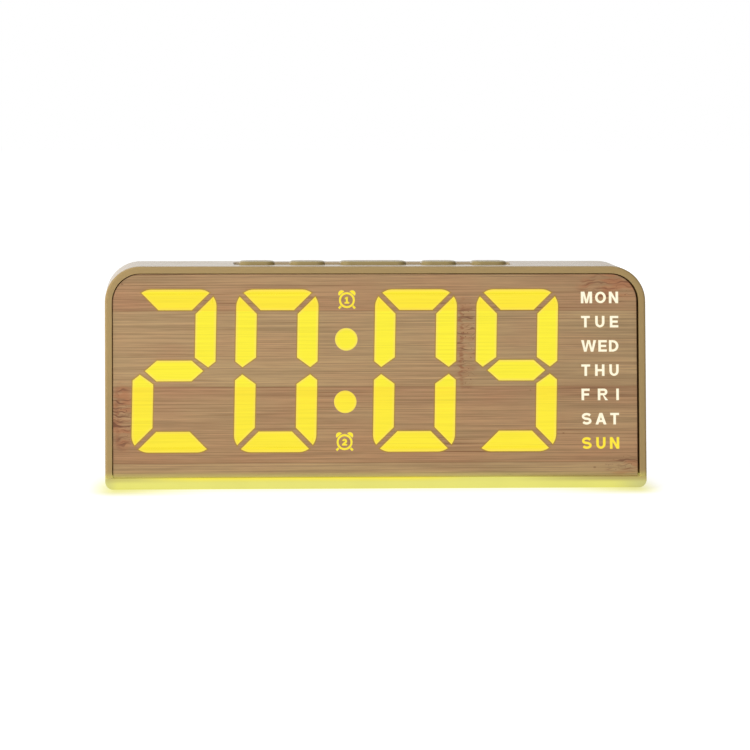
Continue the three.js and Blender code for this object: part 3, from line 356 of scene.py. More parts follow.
def smooth(thing: Piece) -> None:
    """Shades round faces smooth and keeps flat faces flat.

    Args:
        thing: The object.
    """
    thing.data.shade_smooth()
    thing.data.set_sharp_from_angle(angle=SMOOTH_ANGLE)
    weigh = thing.modifiers.new("even_normals", "WEIGHTED_NORMAL")
    weigh.keep_sharp = True


class Sketch:
    """A node tree under construction."""

    # Strength of each finer layer of noise beside the one before it
    FINER_SHARE = 0.55

    def __init__(self, tree: bpy.types.NodeTree) -> None:
        """Works on an existing tree."""
        self.tree = tree

    def feed(self, socket: Socket, value: object) -> None:
        """Links a socket to another one, or sets its value.

        Args:
            socket: The socket.
            value: The other socket, or the value.
        """
        if isinstance(value, Socket):
            self.tree.links.new(value, socket)
        else:
            socket.default_value = value

    def add(self, kind: str, inputs: dict | None = None, **settings: object) -> bpy.types.Node:
        """Adds a node.

        Args:
            kind: Type of the node, without its common prefix.
            inputs: Values or links by input name or number.
            **settings: Properties of the node.

        Returns:
            The node.
        """
        node = self.tree.nodes.new(f"ShaderNode{kind}")
        for key, value in settings.items():
            setattr(node, key, value)
        for key, value in (inputs or {}).items():
            self.feed(node.inputs[key], value)
        return node

    def math(self, operation: str, *values: object, clamp: bool = False) -> Socket:
        """Adds arithmetic on one to three values and gives its result."""
        return self.add("Math", dict(enumerate(values)), operation=operation, use_clamp=clamp).outputs[0]

    def millimetres(self) -> tuple[Socket, Socket, Socket]:
        """Gives the piece's own x, y and z in millimetres."""
        place = self.add("TexCoord").outputs["Object"]
        scaled = self.add("VectorMath", {0: place, "Scale": 1 / MM}, operation="SCALE").outputs[0]
        return tuple(self.add("SeparateXYZ", {0: scaled}).outputs)

    def times(self, first: object, second: object) -> Socket:
        """Multiplies two values."""
        return self.math("MULTIPLY", first, second)

    def less(self, first: object, second: object) -> Socket:
        """Takes the second value from the first."""
        return self.math("SUBTRACT", first, second)

    def larger(self, first: object, second: object) -> Socket:
        """Gives the larger of two values."""
        return self.math("MAXIMUM", first, second)

    def line(self, value: object, slope: object, start: object, clamp: bool = False) -> Socket:
        """Multiplies a value by a slope and adds it to a start."""
        return self.math("MULTIPLY_ADD", value, slope, start, clamp=clamp)

    def off_half(self, value: object) -> Socket:
        """Gives how far a value lies above 0.5."""
        return self.less(value, 0.5)

    def from_middle(self, value: object) -> Socket:
        """Gives how far a value lies from 0.5, up or down."""
        return self.math("ABSOLUTE", self.off_half(value))

    def place(self, values: Sequence[object], pitch: Sequence[object]) -> Socket:
        """Gives a place as a vector, each value times its own pitch."""
        scaled = [self.times(value, step) for value, step in zip(values, pitch)]
        return self.add("CombineXYZ", dict(enumerate(scaled))).outputs[0]

    def noise(self, values: Sequence[object], pitch: Sequence[object], detail: float) -> Socket:
        """Gives a soft random value about 0.5 at a place, with a number of waves in each millimetre."""
        inputs = {"Vector": self.place(values, pitch), "Scale": 1.0, "Detail": detail}
        return self.add("TexNoise", {**inputs, "Roughness": self.FINER_SHARE}).outputs[0]

    def spread(
        self, value: object, low: float, high: float, first: float = 0.0, last: float = 1.0
    ) -> Socket:
        """Maps the range from low to high smoothly onto another one and holds it at the ends."""
        inputs = {0: value, 1: low, 2: high, 3: first, 4: last}
        return self.add("MapRange", inputs, interpolation_type="SMOOTHSTEP").outputs[0]

    def mix(self, share: object, first: object, second: object, how: str = "MIX") -> Socket:
        """Mixes a share of the second colour into the first."""
        inputs = {0: share, 6: first, 7: second}
        return self.add("Mix", inputs, data_type="RGBA", blend_type=how).outputs[2]

    def shade(self, colour: object, level: Socket) -> Socket:
        """Makes a colour lighter or darker by a level about 1."""
        grey = self.add("CombineColor", {0: level, 1: level, 2: level}).outputs[0]
        return self.mix(1.0, colour, grey, "MULTIPLY")

    def bump(self, height: Socket, distance: float) -> Socket:
        """Turns a height between 0 and 1 into a normal, with its depth in millimetres."""
        return self.add("Bump", {"Height": height, "Distance": distance * MM, "Strength": 1.0}).outputs[0]

    def group(self, tree: bpy.types.NodeTree, **inputs: object) -> bpy.types.NodeOutputs:
        """Places a node group.

        Args:
            tree: The group.
            **inputs: Values or links by input name.

        Returns:
            Its outputs.
        """
        node = self.add("Group", node_tree=tree)
        for key, value in inputs.items():
            self.feed(node.inputs[key], value)
        return node.outputs


SOCKETS = {float: "NodeSocketFloat", tuple: "NodeSocketColor"}
# Inputs of the bamboo joint's group, which bear the names of a joint's own values
JOINT_INPUTS = dict(Across=0.0, Up=0.0, Width=5.0, Height=10.0, Swerve=6.0, Rim=1.0, Patch=1.0)


def start_group(
    name: str, inputs: dict[str, object], outputs: dict[str, type]
) -> tuple[Sketch, bpy.types.NodeOutputs, Callable[[str, Socket], None]]:
    """Starts a shader node group.

    Args:
        name: Name of the group.
        inputs: Input names with the values that they start from.
        outputs: Output names with their types, float for a value and tuple for a colour.

    Returns:
        The sketch of its tree, its input sockets by name, and a function that feeds an output.
    """
    tree = bpy.data.node_groups.new(name, "ShaderNodeTree")
    for key, value in inputs.items():
        made = tree.interface.new_socket(name=key, in_out="INPUT", socket_type=SOCKETS[type(value)])
        made.default_value = value
    for key, kind in outputs.items():
        tree.interface.new_socket(name=key, in_out="OUTPUT", socket_type=SOCKETS[kind])
    sketch = Sketch(tree)
    entry = sketch.tree.nodes.new("NodeGroupInput").outputs
    leave = sketch.tree.nodes.new("NodeGroupOutput").inputs
    return sketch, entry, lambda key, value: sketch.feed(leave[key], value)


class Effects:
    """Shader node groups that several finishes share, each built once."""

    def __init__(self) -> None:
        """Builds all groups."""
        self.grain = self.build_grain()
        self.fibres = self.build_fibres()
        self.knot = self.build_knot()

    @staticmethod
    def build_grain() -> bpy.types.NodeTree:
        """Builds the fine grain of a moulded surface.

        Returns:
            A group with a mottled colour, a roughness and a height.
        """
        fine_share, broad_share, polish_share = 0.6, 1.1, 1.5
        inputs = {"Colour": PURE_WHITE, "Mottle": 0.1, "Pitch": 0.3, "Roughness": 0.45}
        outputs = {"Colour": tuple, "Roughness": float, "Height": float}
        sketch, entry, feed = start_group("moulded_grain", inputs, outputs)
        place = sketch.millimetres()
        fine_place = [sketch.math("DIVIDE", value, entry["Pitch"]) for value in place]
        fine = sketch.noise(fine_place, (1.0, 1.0, 1.0), detail=2.0)
        broad = sketch.noise(place, (0.045, 0.045, 0.045), detail=3.0)
        both = sketch.math("ADD", sketch.times(fine, fine_share), sketch.times(broad, broad_share))
        about_mean = sketch.less(both, (fine_share + broad_share) / 2)
        swing = sketch.times(about_mean, entry["Mottle"])
        feed("Colour", sketch.shade(entry["Colour"], sketch.math("ADD", swing, 1.0)))
        uneven = sketch.times(swing, polish_share)
        feed("Roughness", sketch.math("ADD", entry["Roughness"], uneven, clamp=True))
        feed("Height", fine)
        return sketch.tree

    @staticmethod
    def build_fibres() -> bpy.types.NodeTree:
        """Builds the long level fibres of bamboo, in glued strips.

        Returns:
            A group with the fibres' tone, the share of a dark strip, a warm tint, dark streaks and seams.
        """
        inputs = {"Strip": 26.4, "Start": 9.9, "Wander": 0.4}
        outputs = {"Fibre": float, "Strip": float, "Warmth": float, "Streak": float, "Seam": float}
        sketch, entry, feed = start_group("bamboo_fibres", inputs, outputs)
        x, _, z = sketch.millimetres()
        slow = sketch.noise((x, 3.0, z), (0.01, 1.0, 0.04), detail=2.0)
        level = sketch.line(sketch.off_half(slow), entry["Wander"], z)
        count = sketch.math("DIVIDE", sketch.less(level, entry["Start"]), entry["Strip"])
        row, part = sketch.math("FLOOR", count), sketch.math("FRACT", count)

        def along(layer: object, waves: float, lines: float, detail: float = 1.0) -> Socket:
            """Gives a layer of noise with its waves along and its lines across the fibres."""
            return sketch.noise((x, layer, level), (waves, 1.0, lines), detail)

        cord = along(sketch.times(row, 5.3), waves=0.016, lines=0.7, detail=3.0)
        hair = along(7.0, waves=0.018, lines=2.1)
        pores = along(53.0, waves=0.1, lines=2.3)
        band = along(31.0, waves=0.006, lines=0.1, detail=2.0)
        fibre = 0.0
        for layer, share in ((cord, 0.16), (hair, 0.52), (pores, 0.18), (band, 0.14)):
            fibre = sketch.line(layer, share, fibre)
        feed("Fibre", fibre)
        even_row = sketch.less(1.0, sketch.math("PINGPONG", row, 1.0))
        to_seam = sketch.from_middle(part)
        dark_strip = sketch.times(even_row, sketch.spread(to_seam, 0.1, 0.5, 0.5, 1.0))
        feed("Strip", dark_strip)
        tint = along(47.0, waves=0.03, lines=0.09, detail=2.0)
        sway = sketch.line(tint, 1.6, -0.68)
        feed("Warmth", sketch.line(dark_strip, 0.62, sway, clamp=True))
        long_lines = sketch.spread(along(19.0, waves=0.012, lines=1.5), 0.6, 0.72)
        short_lines = sketch.spread(along(23.0, waves=0.02, lines=2.4), 0.6, 0.74, 0.0, 0.9)
        patch = sketch.spread(along(43.0, waves=0.01, lines=0.07, detail=2.0), 0.38, 0.62, 0.4, 1.0)
        strength = sketch.times(patch, sketch.line(dark_strip, 0.5, 0.6))
        feed("Streak", sketch.times(sketch.larger(long_lines, short_lines), strength))
        feed("Seam", sketch.spread(to_seam, 0.485, 0.497))
        return sketch.tree

    @staticmethod
    def build_knot() -> bpy.types.NodeTree:
        """Builds the broken marks of one bamboo joint.

        Returns:
            A group with masks of the warm tint and of the dark marks round a place.
        """
        sketch, entry, feed = start_group("bamboo_joint", JOINT_INPUTS, {"Tint": float, "Mark": float})
        x, _, z = sketch.millimetres()
        aside = sketch.less(x, entry["Across"])
        off_x = sketch.math("DIVIDE", aside, entry["Width"])
        off_z = sketch.math("DIVIDE", sketch.less(z, entry["Up"]), entry["Height"])
        squares = [sketch.math("POWER", value, 2.0) for value in (off_x, off_z)]
        near = sketch.spread(sketch.math("SQRT", sketch.math("ADD", *squares)), 0.55, 1.0, 1.0, 0.0)

        def cloud(layer: float, waves: float, lines: float, height: Socket = z) -> Socket:
            """Gives a layer of noise with its waves along and its lines across the fibres."""
            return sketch.noise((x, layer, height), (waves, 1.0, lines), detail=1.0)

        bend = sketch.off_half(cloud(11.0, waves=0.2, lines=0.28))
        level = sketch.line(bend, entry["Swerve"], z)
        broad = sketch.spread(cloud(29.0, 0.07, 1.1, level), 0.55, 0.66)
        fine = sketch.spread(cloud(31.0, 0.12, 2.1, level), 0.58, 0.7, 0.0, 0.9)
        pores = sketch.spread(cloud(53.0, 1.1, 1.3), 0.66, 0.72)
        sway = sketch.line(cloud(37.0, 0.0, 0.65), 4.4, -0.4)
        to_rim = sketch.math("ABSOLUTE", sketch.math("ADD", aside, sway))
        broken = sketch.spread(cloud(41.0, 0.3, 0.8), 0.4, 0.6, 0.2, 1.0)
        rim = sketch.times(sketch.spread(to_rim, 0.2, 1.2, 1.0, 0.0), broken)
        rim = sketch.times(rim, entry["Rim"])
        drawn = sketch.larger(sketch.larger(broad, fine), pores)
        drawn = sketch.larger(drawn, sketch.times(rim, 0.5))
        patch = sketch.spread(cloud(13.0, 0.1, 0.4, level), 0.42, 0.58)
        tint = sketch.larger(sketch.times(patch, entry["Patch"]), rim)
        feed("Tint", sketch.times(near, tint))
        feed("Mark", sketch.times(near, drawn))
        return sketch.tree


@dataclass(frozen=True)
class Finish:
    """A finish: its material is built on first use and then shared."""

    name: str
    slot: str
    made: ClassVar[dict[str, bpy.types.Material]] = {}
    effects: ClassVar[Effects]

    def material(self) -> bpy.types.Material:
        """Gives the finish's material.

        Returns:
            The material, built once.
        """
        if self.name not in Finish.made:
            material = bpy.data.materials.new(self.name)
            material.use_nodes = True
            shader = material.node_tree.nodes["Principled BSDF"]
            sketch = Sketch(material.node_tree)
            for key, value in self.paint(sketch).items():
                sketch.feed(shader.inputs[key], value)
            Finish.made[self.name] = material
        return Finish.made[self.name]

    def paint(self, sketch: Sketch) -> dict[str, object]:
        """Draws the finish.

        Args:
            sketch: Tree of the material.

        Returns:
            What goes into its shader, as values and links by input name.
        """
        raise NotImplementedError


@dataclass(frozen=True)
class Moulded(Finish):
    """Moulded plastic or rubber with a fine grain."""

    colour: str
    roughness: float = 0.45
    mottle: float = 0.1
    pitch: float = 0.35
    depth: float = 0.012
    gloss: float = 0.5

    def paint(self, sketch: Sketch) -> dict[str, object]:
        """Draws colour, roughness and grain.

        Args:
            sketch: Tree of the material.

        Returns:
            What goes into its shader.
        """
        grain = sketch.group(
            self.effects.grain,
            Colour=tone(self.colour),
            Mottle=self.mottle,
            Pitch=self.pitch,
            Roughness=self.roughness,
        )
        return {
            "Base Color": self.tinted(sketch, grain["Colour"]),
            "Roughness": grain["Roughness"],
            "Normal": sketch.bump(grain["Height"], self.depth),
            "Specular IOR Level": self.gloss,
        }

    def tinted(self, sketch: Sketch, colour: Socket) -> Socket:
        """Gives the colour as it is."""
        return colour


@dataclass(frozen=True)
class LitMoulded(Moulded):
    """Moulded plastic with the glowing base's light painted into its colour along its foot."""

    light: str = "#d6cc6c"
    foot: float = 4.7
    rise: float = 2.6
    share: float = 0.7

    def tinted(self, sketch: Sketch, colour: Socket) -> Socket:
        """Mixes painted light from the base into the colour near the foot."""
        _, _, z = sketch.millimetres()
        near = sketch.spread(z, self.foot, self.foot + self.rise, self.share, 0.0)
        return sketch.mix(near, colour, tone(self.light))


@dataclass(frozen=True)
class Joint:
    """One joint of the bamboo: its place, half size and swerve in millimetres, and how strongly it shows."""

    across: float
    up: float
    width: float
    height: float
    swerve: float
    rim: float
    patch: float = 1.0
    tint: float = 0.65
    mark: float = 0.8


JOINTS = (
    Joint(31.5, 51.0, 5.0, 19.0, swerve=3.5, rim=1.0, patch=0.4, mark=0.75),
    Joint(82.0, 70.5, 13.0, 6.5, swerve=3.0, rim=0.0, tint=0.55, mark=0.6),
    Joint(87.0, 8.5, 8.0, 4.5, swerve=2.5, rim=0.0, tint=0.45, mark=0.7),
    Joint(-89.0, 26.0, 5.0, 14.0, swerve=4.5, rim=0.8, patch=0.8),
)


@dataclass(frozen=True)
class Bamboo(Finish):
    """Bamboo veneer: level fibres in glued strips, with the broken marks of its joints."""

    name: str = "bamboo_veneer"
    slot: str = "bamboo"
    plain: str = "#b1936b"
    warm: str = "#b68a65"
    dark: str = "#7c5639"
    joint: str = "#b06e4a"
    mark: str = "#6e4533"
    # Colours of painted light: round the lit figures, and the base's glow along the foot
    lit_edge: str = "#b08a30"
    foot_glow: str = "#c9c06a"
    contrast: Point = (0.77, 1.23)
    strip_level: Point = (-0.09, 1.01)
    streak_share: float = 0.8
    seam_share: float = 0.35
    fleck_share: float = 0.5
    fleck_pitch: Triple = (0.09, 1.0, 0.14)
    foot: float = 4.7
    foot_rise: float = 2.4
    foot_share: float = 0.75
    dim_from: float = 30.0
    dim_to: float = 85.0
    dimmed: float = 0.4
    polish: Point = (0.25, 0.42)
    relief: float = 0.02
    gloss: float = 0.35

    def paint(self, sketch: Sketch) -> dict[str, object]:
        """Draws fibres, joint marks, flecks, painted light round the lit figures and along the foot, and a
        faint relief.

        Args:
            sketch: Tree of the material.

        Returns:
            What goes into its shader.
        """
        fibres = sketch.group(self.effects.fibres)
        colour = sketch.mix(fibres["Warmth"], tone(self.plain), tone(self.warm))
        fibre = sketch.spread(fibres["Fibre"], 0.34, 0.66, *self.contrast)
        strip = sketch.line(fibres["Strip"], *self.strip_level)
        colour = sketch.shade(colour, sketch.times(fibre, strip))
        colour = sketch.mix(sketch.times(fibres["Streak"], self.streak_share), colour, tone(self.dark))
        colour = sketch.mix(sketch.times(fibres["Seam"], self.seam_share), colour, tone(self.dark))
        for joint in JOINTS:
            inputs = {key: getattr(joint, key.lower()) for key in JOINT_INPUTS}
            knot = sketch.group(self.effects.knot, **inputs)
            colour = sketch.mix(sketch.times(knot["Tint"], joint.tint), colour, tone(self.joint))
            colour = sketch.mix(sketch.times(knot["Mark"], joint.mark), colour, tone(self.mark))
        x, _, z = sketch.millimetres()
        flecks = sketch.times(self.flecks(sketch, x, z), self.fleck_share)
        colour = sketch.mix(flecks, colour, tone(self.mark))
        # Painted light from the figures on the rim round their windows
        lit = sketch.add("Attribute", attribute_name="near_light").outputs["Fac"]
        colour = sketch.mix(lit, colour, tone(self.lit_edge))
        # Painted glow from the base along the panel's foot, weaker towards the right end
        from_base = sketch.spread(z, self.foot, self.foot + self.foot_rise, self.foot_share, 0.0)
        kept = sketch.spread(x, self.dim_from, self.dim_to, 1.0, self.dimmed)
        colour = sketch.mix(sketch.times(from_base, kept), colour, tone(self.foot_glow))
        return {
            "Base Color": colour,
            "Roughness": sketch.line(fibres["Fibre"], *self.polish),
            "Normal": sketch.bump(fibres["Fibre"], self.relief),
            "Specular IOR Level": self.gloss,
        }

    def flecks(self, sketch: Sketch, x: Socket, z: Socket) -> Socket:
        """Gives a mask of small dark flecks, in some of the cells of a loose pattern.

        Args:
            sketch: Tree of the material.
            x: Place across the panel.
            z: Height on the panel.

        Returns:
            The mask.
        """
        layer = 5.0
        place = sketch.place((x, layer, z), self.fleck_pitch)
        cells = sketch.add("TexVoronoi", {"Vector": place, "Scale": 1.0}).outputs
        chosen = sketch.add("SeparateColor", {0: cells["Color"]}).outputs[0]
        dots = sketch.spread(cells["Distance"], 0.03, 0.06, 1.0, 0.0)
        return sketch.times(dots, sketch.spread(chosen, 0.6, 0.7))


@dataclass(frozen=True)
class LitGuide(Finish):
    """Translucent light guide that is lit from behind, through a thin veneer."""

    middle: str
    rim: str
    grain: float = 0.1
    shade: str = "#fbd72e"
    dulled: float = 0.0
    polish: Point = (0.2, 0.45)
    gloss: float = 0.2
    unlit: Colour = (0.02, 0.018, 0.01, 1.0)

    def paint(self, sketch: Sketch) -> dict[str, object]:
        """Draws the light, which is brighter in the middle and faintly streaked by the veneer.

        Args:
            sketch: Tree of the material.

        Returns:
            What goes into its shader.
        """
        fibres = sketch.group(self.effects.fibres)
        inner = sketch.add("Attribute", attribute_name="glow").outputs["Fac"]
        colour = sketch.mix(sketch.spread(inner, 0.0, 1.0), tone(self.rim), tone(self.middle))
        colour = sketch.mix(sketch.times(fibres["Strip"], self.dulled), colour, tone(self.shade))
        streak = sketch.times(sketch.off_half(fibres["Fibre"]), self.grain)
        return {
            "Emission Color": sketch.shade(colour, sketch.math("ADD", streak, 1.0)),
            "Roughness": sketch.line(fibres["Fibre"], *self.polish),
            "Emission Strength": 1.0,
            "Base Color": self.unlit,
            "Specular IOR Level": self.gloss,
        }


@dataclass(frozen=True)
class GlowingPlastic(Finish):
    """Frosted translucent plastic with a row of lights inside."""

    name: str = "glowing_base"
    slot: str = "glow_base"
    middle: str = "#e4e070"
    end: str = "#c3c07c"
    seam: str = "#f2e347"
    # Colour of the painted shade that the panel's edge casts on the glow near both ends
    shade: str = "#ab985e"
    unlit: str = "#6d6a33"
    half_length: float = 95.0
    top: float = 4.6
    left_fade: float = 5.0
    right_fade: float = 14.0
    left_shade: float = 35.0
    right_shade: Point = (35.0, 5.0)
    shade_depth: Point = (1.9, 0.3)
    seam_depth: Point = (1.5, 0.1)
    seam_centre: float = -25.0
    seam_reach: Point = (35.0, 62.0)
    cloud_pitch: float = 0.05
    cloud_level: Point = (0.12, 0.82)
    relief: float = 0.01

    def paint(self, sketch: Sketch) -> dict[str, object]:
        """Draws a glow that fades to the ends and is brightest along the upper seam, with painted shade
        under the panel's edge towards both ends.

        Args:
            sketch: Tree of the material.

        Returns:
            What goes into its shader.
        """
        x, y, z = sketch.millimetres()
        half, top = self.half_length, self.top
        left_end = sketch.spread(x, -half, self.left_fade - half, 0.8, 0.0)
        right_end = sketch.spread(x, half - self.right_fade, half)
        to_end = sketch.larger(left_end, right_end)
        colour = sketch.mix(to_end, tone(self.middle), tone(self.end))
        # Painted shade under the panel's edge, stronger towards both ends
        right_shade = sketch.spread(x, self.right_shade[0], half - self.right_shade[1])
        left_shade = sketch.spread(x, -half, self.left_shade - half, 0.6, 0.1)
        shaded = sketch.larger(right_shade, left_shade)
        under_edge = sketch.spread(z, top - self.shade_depth[0], top - self.shade_depth[1])
        colour = sketch.mix(sketch.times(under_edge, shaded), colour, tone(self.shade))
        near_seam = sketch.spread(z, top - self.seam_depth[0], top - self.seam_depth[1])
        from_centre = sketch.math("ABSOLUTE", sketch.less(x, self.seam_centre))
        centre = sketch.spread(from_centre, *self.seam_reach, 1.0, 0.0)
        colour = sketch.mix(sketch.times(near_seam, centre), colour, tone(self.seam))
        cloud = sketch.noise((x, y, 0.0), (self.cloud_pitch, self.cloud_pitch, 1.0), detail=2.0)
        level = sketch.line(sketch.off_half(cloud), *self.cloud_level)
        unlit = tone(self.unlit)
        grain = sketch.group(self.effects.grain, Colour=unlit, Mottle=0.08, Pitch=0.5, Roughness=0.38)
        return {
            "Emission Color": sketch.shade(colour, level),
            "Emission Strength": 1.0,
            "Base Color": grain["Colour"],
            "Roughness": grain["Roughness"],
            "Normal": sketch.bump(grain["Height"], self.relief),
        }


@dataclass(frozen=True)
class Metal(Finish):
    """Plated or plain sheet metal with fine drawing lines."""

    colour: str
    roughness: float = 0.3
    line_pitch: Triple = (9.0, 0.6, 0.6)
    line_level: Point = (0.3, 0.85)
    line_polish: float = 0.2
    relief: float = 0.004

    def paint(self, sketch: Sketch) -> dict[str, object]:
        """Draws a metallic colour with a slightly uneven polish.

        Args:
            sketch: Tree of the material.

        Returns:
            What goes into its shader.
        """
        lines = sketch.noise(sketch.millimetres(), self.line_pitch, detail=3.0)
        level = sketch.line(lines, *self.line_level)
        least = self.roughness - self.line_polish / 2
        return {
            "Base Color": sketch.shade(tone(self.colour), level),
            "Roughness": sketch.line(lines, self.line_polish, least),
            "Normal": sketch.bump(lines, self.relief),
            "Metallic": 1.0,
        }


@dataclass(frozen=True)
class CircuitBoard(Finish):
    """Glass-epoxy board under a solder mask, with faint tracks."""

    name: str = "solder_mask"
    slot: str = "board_green"
    mask: str = "#1c5a38"
    track: str = "#2d7a4d"
    pitch: float = 1.8
    bend_pitch: float = 0.08
    bend: float = 18.0
    relief: float = 0.03
    roughness: float = 0.35

    def paint(self, sketch: Sketch) -> dict[str, object]:
        """Draws tracks a shade lighter than the mask.

        Args:
            sketch: Tree of the material.

        Returns:
            What goes into its shader.
        """
        x, y, z = sketch.millimetres()
        up = sketch.math("ADD", y, z)
        bend = sketch.noise((x, 2.0, up), (self.bend_pitch, 1.0, self.bend_pitch), detail=1.0)
        bent = sketch.line(bend, self.bend, up)
        lane = sketch.math("FRACT", sketch.math("DIVIDE", bent, self.pitch))
        drawn = sketch.spread(sketch.from_middle(lane), 0.14, 0.2, 1.0, 0.0)
        return {
            "Base Color": sketch.mix(drawn, tone(self.mask), tone(self.track)),
            "Normal": sketch.bump(drawn, self.relief),
            "Roughness": self.roughness,
        }


@dataclass(frozen=True)
class FlatCable(Finish):
    """Flat cable: a row of round leads under one jacket."""

    name: str = "flat_cable"
    slot: str = "ribbon_grey"
    crest: str = "#d2d1ca"
    groove: str = "#8d8c86"
    pitch: float = 1.27
    relief: float = 0.15
    roughness: float = 0.5

    def paint(self, sketch: Sketch) -> dict[str, object]:
        """Draws a groove between each two leads.

        Args:
            sketch: Tree of the material.

        Returns:
            What goes into its shader.
        """
        x, _, _ = sketch.millimetres()
        lane = sketch.math("FRACT", sketch.math("DIVIDE", x, self.pitch))
        crest = sketch.spread(sketch.from_middle(lane), 0.3, 0.5, 1.0, 0.0)
        return {
            "Base Color": sketch.mix(crest, tone(self.groove), tone(self.crest)),
            "Normal": sketch.bump(crest, self.relief),
            "Roughness": self.roughness,
        }


TAN = Moulded("tan_plastic", "tan_plastic", "#ab8f5b", roughness=0.2, depth=0.001)
# The sleeve's colour has the base's glow painted in along its foot
SLEEVE = LitMoulded("tan_sleeve", "tan_plastic", "#ab8f5b", roughness=0.2, depth=0.001)
TAN_KEY = Moulded("tan_key", "tan_plastic", "#a6925c", roughness=0.22, mottle=0.08, depth=0.001)
WHITE = Moulded("white_plastic", "white_plastic", "#ece9e0", roughness=0.5, mottle=0.05)
BLACK = Moulded("black_plastic", "black_plastic", "#1d1d1f", roughness=0.4, mottle=0.2)
# A dark strip on the panel's ledge: painted shade for the gap round the panel, with the base's glow painted
# on it near the foot
GAP_SHADE_LOOK = {"roughness": 0.7, "mottle": 0.2, "gloss": 0.2, "light": "#b79c5c", "rise": 3.4, "share": 0.9}
GAP_SHADE = LitMoulded("dark_tape", "black_plastic", "#57391c", **GAP_SHADE_LOOK)
RUBBER = Moulded("foot_rubber", "foot_rubber", "#e9e6cf", roughness=0.7, mottle=0.12, depth=0.02, gloss=0.3)
BAMBOO = Bamboo()
LIT_YELLOW = LitGuide("lit_yellow", "lit_yellow", middle="#f9eb32", rim="#fae35a", grain=0.45, dulled=0.45)
LIT_TODAY = LitGuide("lit_today", "lit_yellow", middle="#fde63a", rim="#fbdc3c", grain=0.1)
LIT_WHITE = LitGuide("lit_white", "lit_white", middle="#fffae1", rim="#fff1c8", grain=0.04)
GLOW = GlowingPlastic()
STEEL = Metal("plated_steel", "steel", "#b9bcc0", roughness=0.32)
CELL_CAN = Metal("cell_can", "steel", "#9fa2a5", roughness=0.6)
BRASS = Metal("spring_brass", "contact_brass", "#c9a25a", roughness=0.35)
BOARD = CircuitBoard()
CABLE = FlatCable()
SLOT_FINISHES = (TAN, WHITE, BLACK, RUBBER, BAMBOO, LIT_YELLOW, LIT_WHITE, GLOW, STEEL, BRASS, BOARD, CABLE)
FINISHES = {finish.slot: finish for finish in SLOT_FINISHES}


def seat(thing: Piece, body: str, finish: Finish, *nodes: str) -> None:
    """Dresses a piece, rides it on its body and hides the solids that it stands for.

    Args:
        thing: The piece.
        body: Name of the body that carries it.
        finish: Its finish.
        *nodes: Solids that it replaces.
    """
    smooth(thing)
    thing.data.materials.clear()
    thing.data.materials.append(finish.material())
    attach(thing, body)
    if nodes:
        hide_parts(*nodes)
    LOG.info("%s: %d faces, finish %s", thing.name, len(thing.data.polygons), finish.name)


@dataclass
class CaseLines:
    """Lines that the pieces of the case share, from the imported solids, in millimetres."""

    lean: float = math.radians(7.0)
    wall: float = 2.5
    top_corner: float = 12.4
    low_corner: float = 2.8
    front_round: float = 0.8
    rear_round: float = 2.0
    fit: float = 0.3
    half_width: float = field(init=False)
    housing_low: float = field(init=False)
    top: float = field(init=False)
    base_low: float = field(init=False)
    base_top: float = field(init=False)
    front: float = field(init=False)
    back: float = field(init=False)

    def __post_init__(self) -> None:
        """Reads the boxes of housing and base."""
        low, high = corners("main_housing")
        self.half_width, self.housing_low, self.top, self.back = high.x, low.z, high.z, high.y
        low, high = corners("base_diffuser")
        self.base_low, self.base_top = low.z, high.z
        self.front = low.y - self.front_round * self.slope

    @property
    def slope(self) -> float:
        """Set-back of the face for each millimetre of height."""
        return math.tan(self.lean)

    @property
    def ceiling(self) -> float:
        """Underside of the top wall."""
        return self.top - self.wall

    def up_face(self, z: float, depth: float) -> float:
        """Distance up the face of a point at a height that lies a depth behind it."""
        return (z - self.base_low + depth * math.sin(self.lean)) / math.cos(self.lean)

    def on_face(self) -> Matrix:
        """Matrix from the face (across, depth, up) to the clock."""
        return Matrix.Translation((0, self.front, self.base_low)) @ Matrix.Rotation(-self.lean, 4, "X")


